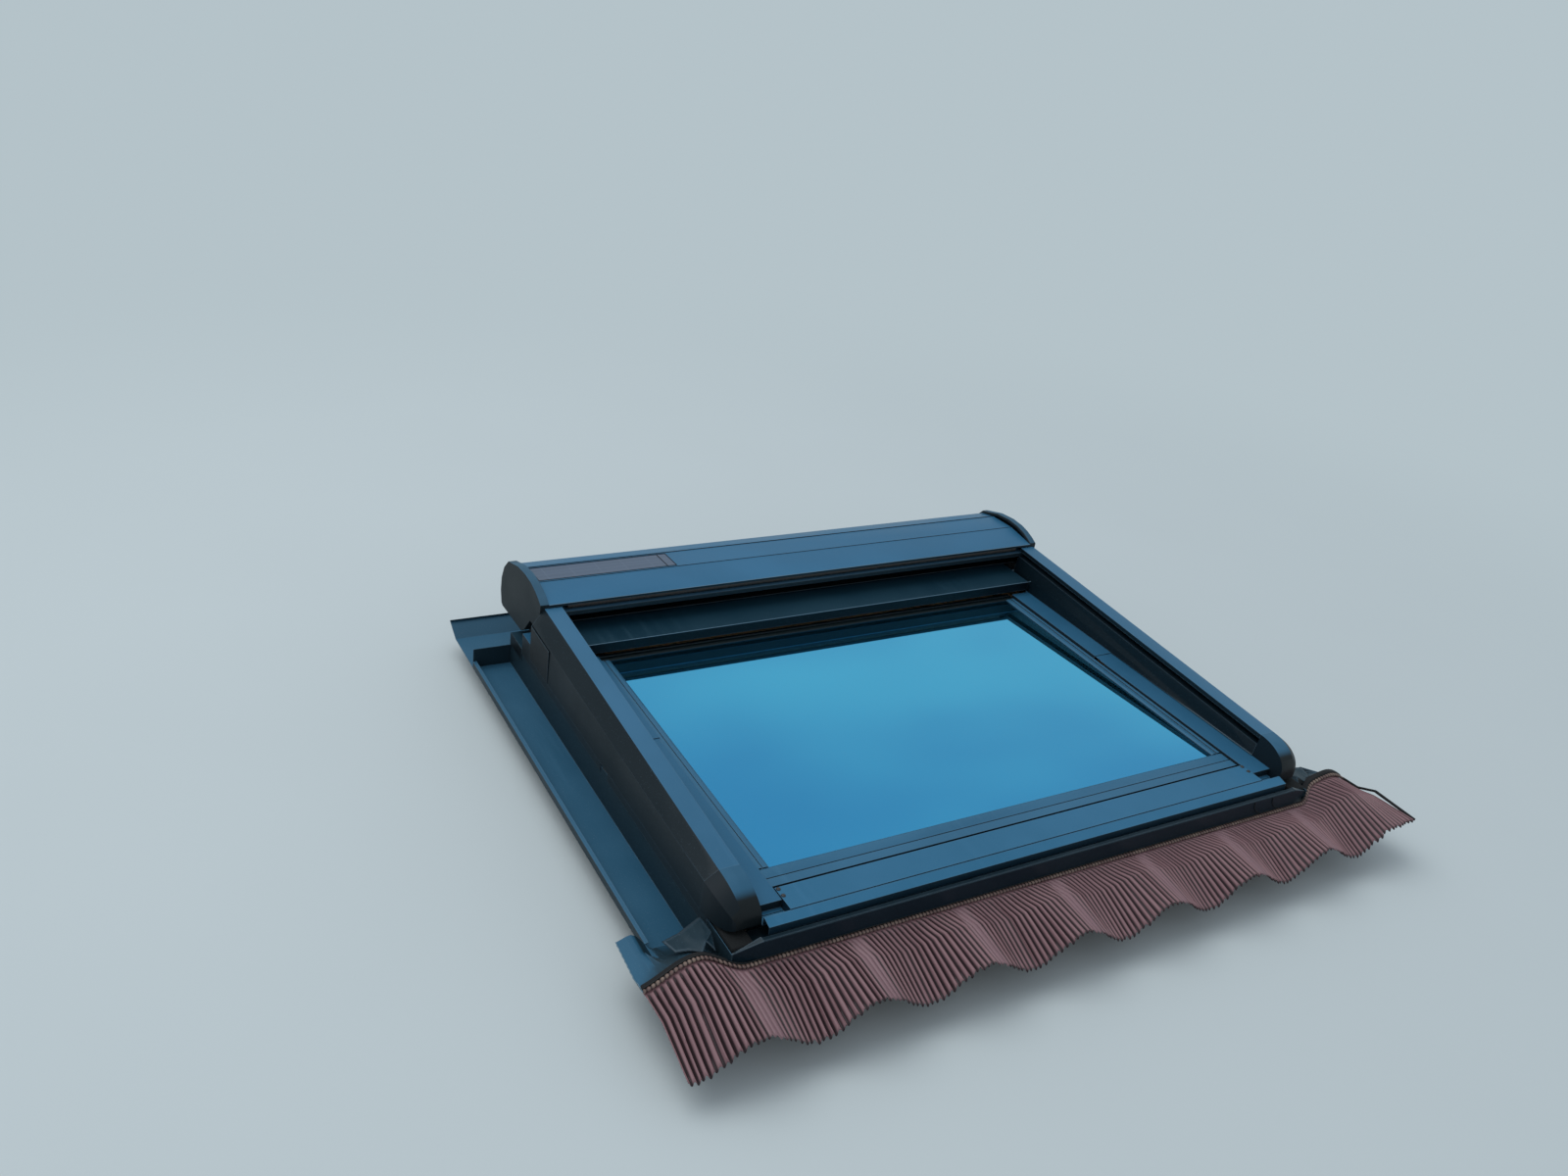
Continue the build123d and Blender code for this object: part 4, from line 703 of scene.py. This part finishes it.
pleats = round(1.425 / pleat_pitch)
apron = bmesh.new()
bmesh.ops.create_grid(apron, x_segments=pleats * 8, y_segments=26, size=0.5)
fold_layer = apron.verts.layers.float.new("fold")
flat_layer = apron.verts.layers.float.new("flat")
chance = random.Random(7)
ragged = [chance.uniform(-0.0030, 0.0012) for _ in range(pleats + 2)]
height = [chance.uniform(0.75, 1.15) for _ in range(pleats + 2)]
sway = [chance.uniform(-0.0007, 0.0007) for _ in range(pleats + 2)]
for vert in apron.verts:
    across, down = vert.co.x + 0.5, (0.5 - vert.co.y) ** 1.15
    x, y, z = apron_point(across, down)
    number = across * pleats
    drawn = pleats_open(x)
    depth = pleat_tall * height[int(number)] * (1 - 0.75 * drawn) * smooth((down - 0.02) / 0.07)
    hollow = (0.5 - 0.5 * math.cos(2 * math.pi * number)) ** 1.7
    x += sway[int(number)] * smooth(down / 0.3)
    y += (ragged[int(number)] + 0.0030 * (0.5 - hollow)) * smooth((down - 0.86) / 0.14)
    vert.co = (x, y, z + depth * (1 - 2 * hollow))
    vert[fold_layer] = hollow * min(1.0, depth / (0.6 * pleat_tall)) * (1 - 0.6 * drawn)
    vert[flat_layer] = drawn
bmesh.ops.recalc_face_normals(apron, faces=apron.faces)

# The coat is painted near black in the pleats' valleys, as painted shade, and paler on the flattened far
# flanks, as a painted sheen.
apron_coat, tree, shader = new_material("apron_coat", Metallic=0.1)
place = object_place(tree)
fold = add_node(tree, "ShaderNodeAttribute", attribute_name="fold").outputs["Fac"]
flat = add_node(tree, "ShaderNodeAttribute", attribute_name="flat").outputs["Fac"]
cloud = noise(tree, place, 14.0, 5.0)
grit = noise(tree, place, 900.0, 3.0)
ridge_colour = blend_colour(tree, cloud, (0.200, 0.096, 0.105, 1), (0.305, 0.170, 0.180, 1))
pale = blend_colour(tree, math_node(tree, "MULTIPLY", flat, 0.45), ridge_colour, (0.270, 0.170, 0.190, 1))
dusted = blend_colour(tree, math_node(tree, "MULTIPLY", ramp(tree, grit, 0.5, 0.75), 0.22), pale,
                      (0.30, 0.22, 0.23, 1))
pleat_shaded_colour = blend_colour(tree, math_node(tree, "MULTIPLY", ramp(tree, fold, 0.12, 0.68), 0.95), dusted,
                    (0.016, 0.007, 0.009, 1))
tree.links.new(pleat_shaded_colour, shader.inputs["Base Color"])
tree.links.new(between(tree, grit, 0.40, 0.62), shader.inputs["Roughness"])
relief = add_node(tree, "ShaderNodeBump", {"Height": grit, "Strength": 0.15, "Distance": 0.0003})
tree.links.new(relief.outputs["Normal"], shader.inputs["Normal"])
apron_sheet = new_piece("pleated_apron", apron, apron_coat, "frame", 70.0)
thicken(apron_sheet, "sheet", sheet_gauge)
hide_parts("flashing_apron")

# Clinched seam: the apron's upper edge is folded over the edge of the sill and wings and
# crimped every few millimetres, with a black bead of sealant squeezed out behind it.
crimp_pitch = 0.0062
seam_left, seam_width = -0.6945, 1.391
crimps = round(1.392 / crimp_pitch)
seam = bmesh.new()
bmesh.ops.create_grid(seam, x_segments=crimps * 6, y_segments=10, size=0.5)
crimp_layer = seam.verts.layers.float.new("crimp")
for vert in seam.verts:
    along, turn = vert.co.x + 0.5, 2 * math.pi * (vert.co.y + 0.5)
    x = seam_left + seam_width * along
    y, z = seam_point(x)
    swell = 0.5 + 0.5 * math.cos(2 * math.pi * crimps * along)
    vert.co = (x, y - 0.0022 + (0.0026 + 0.0010 * swell) * math.cos(turn),
               z + 0.0030 + (0.0016 + 0.0012 * swell) * math.sin(turn))
    vert[crimp_layer] = 1 - swell
bmesh.ops.remove_doubles(seam, verts=seam.verts, dist=1e-6)
bmesh.ops.holes_fill(seam, edges=[edge for edge in seam.edges if edge.is_boundary], sides=0)
bmesh.ops.recalc_face_normals(seam, faces=seam.faces)
# The colour darkens between the crimps: painted shade in the nips.
seam_coat, tree, shader = new_material("crimped_seam", Metallic=0.2)
place = object_place(tree)
nip_shade = add_node(tree, "ShaderNodeAttribute", attribute_name="crimp").outputs["Fac"]
soil = noise(tree, place, 60.0, 4.0)
tan = blend_colour(tree, ramp(tree, soil, 0.35, 0.7), (0.150, 0.088, 0.078, 1), (0.260, 0.185, 0.145, 1))
nip_shaded_colour = blend_colour(tree, ramp(tree, nip_shade, 0.45, 1.0), tan, (0.020, 0.012, 0.012, 1))
tree.links.new(nip_shaded_colour, shader.inputs["Base Color"])
tree.links.new(between(tree, soil, 0.45, 0.7), shader.inputs["Roughness"])
new_piece("clinched_seam", seam, seam_coat, "frame", 60.0)
bead = []
for step in range(121):
    x = -0.694 + 1.390 * step / 120
    y, z = seam_point(x)
    bead.append((x, y + 0.0014, z + 0.0050))
thin_line("seam_sealant", bead, 0.0012, black_seal_and_shadow_line, "frame")

# Cut edge: the left wing's free edge, bare aluminium where the snips went and a little wavy.
# It is the cut edge of the side flashing, so nothing fixes it.
bare = []
for step in range(31):
    x, y = -0.690 - 0.005 * step / 30, -0.340 - 0.104 * step / 30
    climb = max(smooth(step / 30), 0.8)
    bare.append((x + 0.0004 * math.sin(2.1 * step), y, 0.0094 + (seam_point(x)[1] - 0.009) * climb))
thin_line("wing_cut_edge", bare, 0.0007, edge_wear_and_highlight, "frame")

# Foam strips: black closed-cell foam stuck along the edges of the sheet beside the frame,
# which seals it to the tiles.
foam_black = rubber("closed_cell_foam", (0.006, 0.006, 0.007, 1), (0.018, 0.018, 0.019, 1), 420.0, 0.75, 0.5)
soften("foam_strips", "edge_foam", "frame", foam_black, 0.0015)

# Shutter rails: an extruded aluminium cover on each side with the curtain's channel in
# its inner wall, painted like the rest and closed at its head by a thin plate.
rail_top_z, rail_head_y, rail_slope = 0.1822, 0.3345, 0.05
rail_paint = paint("rail_paint", (0.036, 0.138, 0.240), (0.050, 0.172, 0.295), (0.005, 0.010, 0.012),
                   0.33, 0.4)
# The second paint is a near-black copy of the rail paint: painted shade on every face but the flat top.
rail_shaded_side_paint = paint("rail_shaded_side_paint", (0.003, 0.010, 0.016), (0.006, 0.015, 0.022),
                        (0.003, 0.010, 0.015), 0.42)
for side in ("left", "right"):
    rail = soften(f"rail_{side}", f"guide_rail_{side}", "shutter", rail_paint, 0.0007)
    rail.data.materials.append(rail_shaded_side_paint)
    for face in rail.data.polygons:
        on_top = face.center.z > rail_top_z - rail_slope * (rail_head_y - face.center.y) - 0.003
        face.material_index = 0 if on_top and face.normal.z > 0.93 else 1
plate_paint = paint("plate_paint", (0.008, 0.014, 0.018), (0.014, 0.022, 0.027), (0.005, 0.009, 0.012),
                    0.4, 0.3)
soften("rail_end_plates", "rail_plates", "shutter", plate_paint, 0.0003)

# Nose caps: moulded plastic ends pushed onto the lower ends of the rails, rounded in
# front and tapered on the outside.
moulded, takes, puts = start_group("moulded_plastic", {"Colour": (0.03, 0.04, 0.045, 1), "Gloss": 0.42,
                                                       "Faded": (0.055, 0.070, 0.078, 1),
                                                       "Sheltered": (0.014, 0.020, 0.023, 1)}, gives_all)
place = object_place(moulded)
fading = noise(moulded, place, 16.0, 4.0)
leather = add_node(moulded, "ShaderNodeTexVoronoi", {"Vector": place, "Scale": 1500.0}).outputs["Distance"]
lit_top_colour = blend_colour(moulded, ramp(moulded, fading, 0.35, 0.7), takes["Colour"], takes["Faded"])
moulded.links.new(blend_colour(moulded, lit_from_above_share(moulded, 0.78, 0.93), takes["Sheltered"], lit_top_colour),
                  puts["Colour"])
moulded.links.new(math_node(moulded, "ADD", takes["Gloss"], math_node(moulded, "MULTIPLY", fading, 0.15)),
                  puts["Roughness"])
moulded.links.new(leather, puts["Height"])


def plastic(name, colour, faded, shaded_side=(0.011, 0.017, 0.020), gloss=0.42):
    """Moulded plastic: its colour, what the sun faded it to, and the darker colour painted on its upright
    sides as shade.
    """
    material, tree, shader = new_material(name, Specular_IOR_Level=0.25)
    use_group(tree, shader, moulded, 0.08, 0.0003, Colour=(*colour, 1), Faded=(*faded, 1),
              Sheltered=(*shaded_side, 1), Gloss=gloss)
    return material


nose_plastic = plastic("nose_plastic", (0.026, 0.110, 0.190), (0.038, 0.135, 0.225), (0.006, 0.010, 0.012),
                       0.38)
# The second plastic is a near-black copy of the nose plastic: painted shade on the caps' steep sides.
nose_shaded_side_plastic = plastic("nose_shaded_side_plastic", (0.004, 0.011, 0.017), (0.007, 0.016, 0.023),
                            (0.004, 0.010, 0.015))
rail_inner_x, rail_outer_x = 0.5175, 0.5786
nose_back_y, nose_reach = -0.364, 0.066


def nose_row(share):
    """Outside of a nose cap, from skirt to foot, where its height is a share of the rail's."""
    low = 0.094 - 0.010 * share
    top = 0.107 + 0.0403 * share
    crease = 0.097 + 0.0359 * share
    side = rail_outer_x - 0.026 * (1 - share)
    return ((side, low), (side - 0.0005, crease), (0.557 - 0.0104 * (1 - share), top),
            (rail_inner_x + 0.1185 * (top - low), top), (rail_inner_x, low))


for side, turn in (("left", -1), ("right", 1)):
    nose = bmesh.new()
    bmesh.ops.create_grid(nose, x_segments=4, y_segments=24, size=2.0)
    for vert in nose.verts:
        angle = 0.125 * math.pi * (vert.co.y + 2)
        x, z = nose_row(math.cos(angle))[round(vert.co.x) + 2]
        vert.co = (turn * x, nose_back_y - nose_reach * math.sin(angle), z)
    nose.verts.ensure_lookup_table()
    tip = min(vert.co.y for vert in nose.verts)
    bmesh.ops.contextual_create(nose, geom=[vert for vert in nose.verts if vert.co.y < tip + 1e-5])
    bmesh.ops.recalc_face_normals(nose, faces=nose.faces)
    if max(nose.faces, key=lambda face: face.calc_center_median().z).normal.z < 0:
        bmesh.ops.reverse_faces(nose, faces=nose.faces)
    for face in nose.faces:
        face.material_index = 1 if abs(face.normal.x) > 0.45 else 0
    cap = new_piece(f"rail_nose_{side}", nose, nose_plastic, "shutter", 34.0)
    cap.data.materials.append(nose_shaded_side_plastic)
    thicken(cap, "wall", 0.002)
    round_edges(cap, 0.0012, 3, 30.0)
    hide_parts(f"nose_cap_{side}")

# Shutter box: a folded painted hood in front of and over the roll, a pan below it, and
# two moulded end caps that stand a little proud of both.
hood_paint = paint("hood_paint", (0.030, 0.140, 0.255), (0.046, 0.178, 0.315), gloss=0.32, streaks=0.35)
soften("box_hood", "hood", "shutter", hood_paint, 0.0008)
hood_half = 0.5485
# Two black lines along the hood's creases are painted shadow in its grooves, and a pale line along its lip is
# a painted highlight.
for name, y, z, wide, finish in (("hood_front_shadow_line", 0.405, 0.1975, 0.0007, black_seal_and_shadow_line),
                                 ("hood_back_shadow_line", 0.470, 0.1946, 0.0010, black_seal_and_shadow_line),
                                 ("hood_lip_highlight", 0.3343, 0.1882, 0.0006, edge_wear_and_highlight)):
    thin_line(name, [(-hood_half, y, z), (hood_half, y, z)], wide, finish, "shutter")
pan_paint = paint("pan_paint", (0.006, 0.008, 0.010), (0.010, 0.012, 0.014), (0.004, 0.005, 0.006), 0.5, 0.3)
soften("box_pan", "pan", "shutter", pan_paint, 0.0006)
cap_plastic = plastic("cap_plastic", (0.030, 0.095, 0.155), (0.040, 0.118, 0.185), (0.010, 0.017, 0.021), 0.5)
for side in ("left", "right"):
    soften(f"end_cap_{side}", f"box_cap_{side}", "shutter", cap_plastic, 0.0025, 4)
soften("mouth_brush", "brush", "shutter", foam_black, 0.0004)
brush_width, brush_y = 1.024, 0.33665
brush_top_z, brush_tip_z = 0.1834, 0.1768
bristles = bmesh.new()
bmesh.ops.create_grid(bristles, x_segments=900, y_segments=1, size=0.5)
tips = random.Random(5)
for vert in bristles.verts:
    trim = tips.uniform(-0.0012, 0.0009)
    vert.co = (brush_width * vert.co.x, brush_y + tips.uniform(-0.0001, 0.0001),
               brush_top_z if vert.co.y > 0 else brush_tip_z + trim)
hair, tree, shader = new_material("bristle_hair", Roughness=0.6)
place = object_place(tree)
strand = noise(tree, place, 1500.0, 2.0)
tree.links.new(blend_colour(tree, strand, (0.012, 0.009, 0.008, 1), (0.110, 0.080, 0.062, 1)),
               shader.inputs["Base Color"])
hairs = new_piece("brush_bristles", bristles, hair, "shutter")
thicken(hairs, "thread", 0.0004)

# Solar panel: dark cells behind a clear sheet, let flush into the hood's top facet, with
# a fine silver grid, that charges the shutter's battery.
cells_look, tree, shader = new_material("solar_cells", Coat_Weight=0.6, Coat_Roughness=0.08)
place = object_place(tree)
grid = add_node(tree, "ShaderNodeTexBrick", {
    "Vector": place, "Color1": (0.028, 0.056, 0.115, 1), "Color2": (0.034, 0.064, 0.128, 1),
    "Mortar": (0.060, 0.095, 0.165, 1), "Scale": 1.0, "Mortar Size": 0.0006, "Brick Width": 0.052,
    "Row Height": 0.0135}, offset=0.0)
tree.links.new(grid.outputs["Color"], shader.inputs["Base Color"])
shader.inputs["Roughness"].default_value = 0.3
soften("solar_panel", "cell_panel", "shutter", cells_look, 0.0005)


def panel_level(y):
    """Height of the facet that the panel lies in."""
    return 0.1976 - 0.003 * (y - 0.405) / 0.065


panel_left, panel_right, panel_bus_x = -0.5412, -0.2668, -0.2850
panel_low, panel_high = 0.4098, 0.4652
for number, (x0, y0, x1, y1) in enumerate((
        (panel_left, panel_low, panel_right, panel_low), (panel_left, panel_high, panel_right, panel_high),
        (panel_left, panel_low, panel_left, panel_high), (panel_right, panel_low, panel_right, panel_high),
        (panel_bus_x, panel_low, panel_bus_x, panel_high))):
    ends = [(x0, y0, panel_level(y0)), (x1, y1, panel_level(y1))]
    thin_line(f"panel_gasket_{number + 1}", ends, 0.0008, black_seal_and_shadow_line, "shutter")

# Winding gear inside the box: an aluminium tube on a motor head and a bearing, with the
# slat curtain wound on it, and the battery and control unit behind it.
tube_metal = bare_metal("tube_aluminium", (0.45, 0.46, 0.47, 1), (0.55, 0.56, 0.57, 1), (5.0, 700.0, 700.0))
soften("winding_tube", "tube", "roll", tube_metal, 0.0004)
motor_paint = plastic("motor_shell", (0.02, 0.02, 0.022), (0.035, 0.035, 0.036), gloss=0.35)
soften("tube_motor", "motor", "shutter", motor_paint, 0.0005)
soften("idler_bearing", "bearing", "shutter", bright_zinc, 0.0005)
slat_paint = paint("slat_paint", (0.030, 0.080, 0.128), (0.042, 0.105, 0.160), (0.012, 0.022, 0.028),
                   0.35, 0.3)
soften("slat_roll", "wound_slats", "roll", slat_paint, 0.0006)
battery_plastic = plastic("battery_plastic", (0.010, 0.010, 0.011), (0.022, 0.022, 0.023), gloss=0.38)
soften("battery_box", "battery", "shutter", battery_plastic, 0.002, 3)

# Curtain bar and the first slats: the painted end bar that runs in both rails' channels
# and draws the slats out over the glass.
soften("curtain_bar", "end_bar", "curtain_bar", slat_paint, 0.0012, 3)
soften("lead_slats", "first_slats", "curtain_bar", slat_paint, 0.0015, 3)

# Slat curtain: thirty-eight narrow curved slats between the bar and the roll. They are
# drawn as they lie at rest, gathered at the mouth of the box.
slats = 38
curtain_width = 1.090
mouth_y, mouth_depth, mouth_z = 0.4060, 0.0075, 0.1700
curtain = bmesh.new()
bmesh.ops.create_grid(curtain, x_segments=2, y_segments=slats * 5, size=0.5)
for vert in curtain.verts:
    share = vert.co.y + 0.5
    gathered = 0.5 - math.sin(math.asin(1 - 2 * share) / 3)
    curve = math.sin(math.pi * ((share * slats) % 1.0)) ** 0.5 if 0 < share < 1 else 0.0
    vert.co = (vert.co.x * curtain_width, mouth_y - mouth_depth * gathered, mouth_z + 0.0032 * curve)
bmesh.ops.recalc_face_normals(curtain, faces=curtain.faces)
curtain_sheet = new_piece("slat_curtain", curtain, slat_paint, None, 30.0)
thicken(curtain_sheet, "leaf", 0.0009)
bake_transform(curtain_sheet)

# Shutter hinges: two steel knuckle hinges at the head, which let the whole shutter lift
# as the window opens.
soften("hinge_bases", "hinge_leaves", "frame", zinc, 0.0005)
soften("hinge_lifts", "hinge_arms", "shutter", zinc, 0.0005)

bpy.context.view_layer.update()
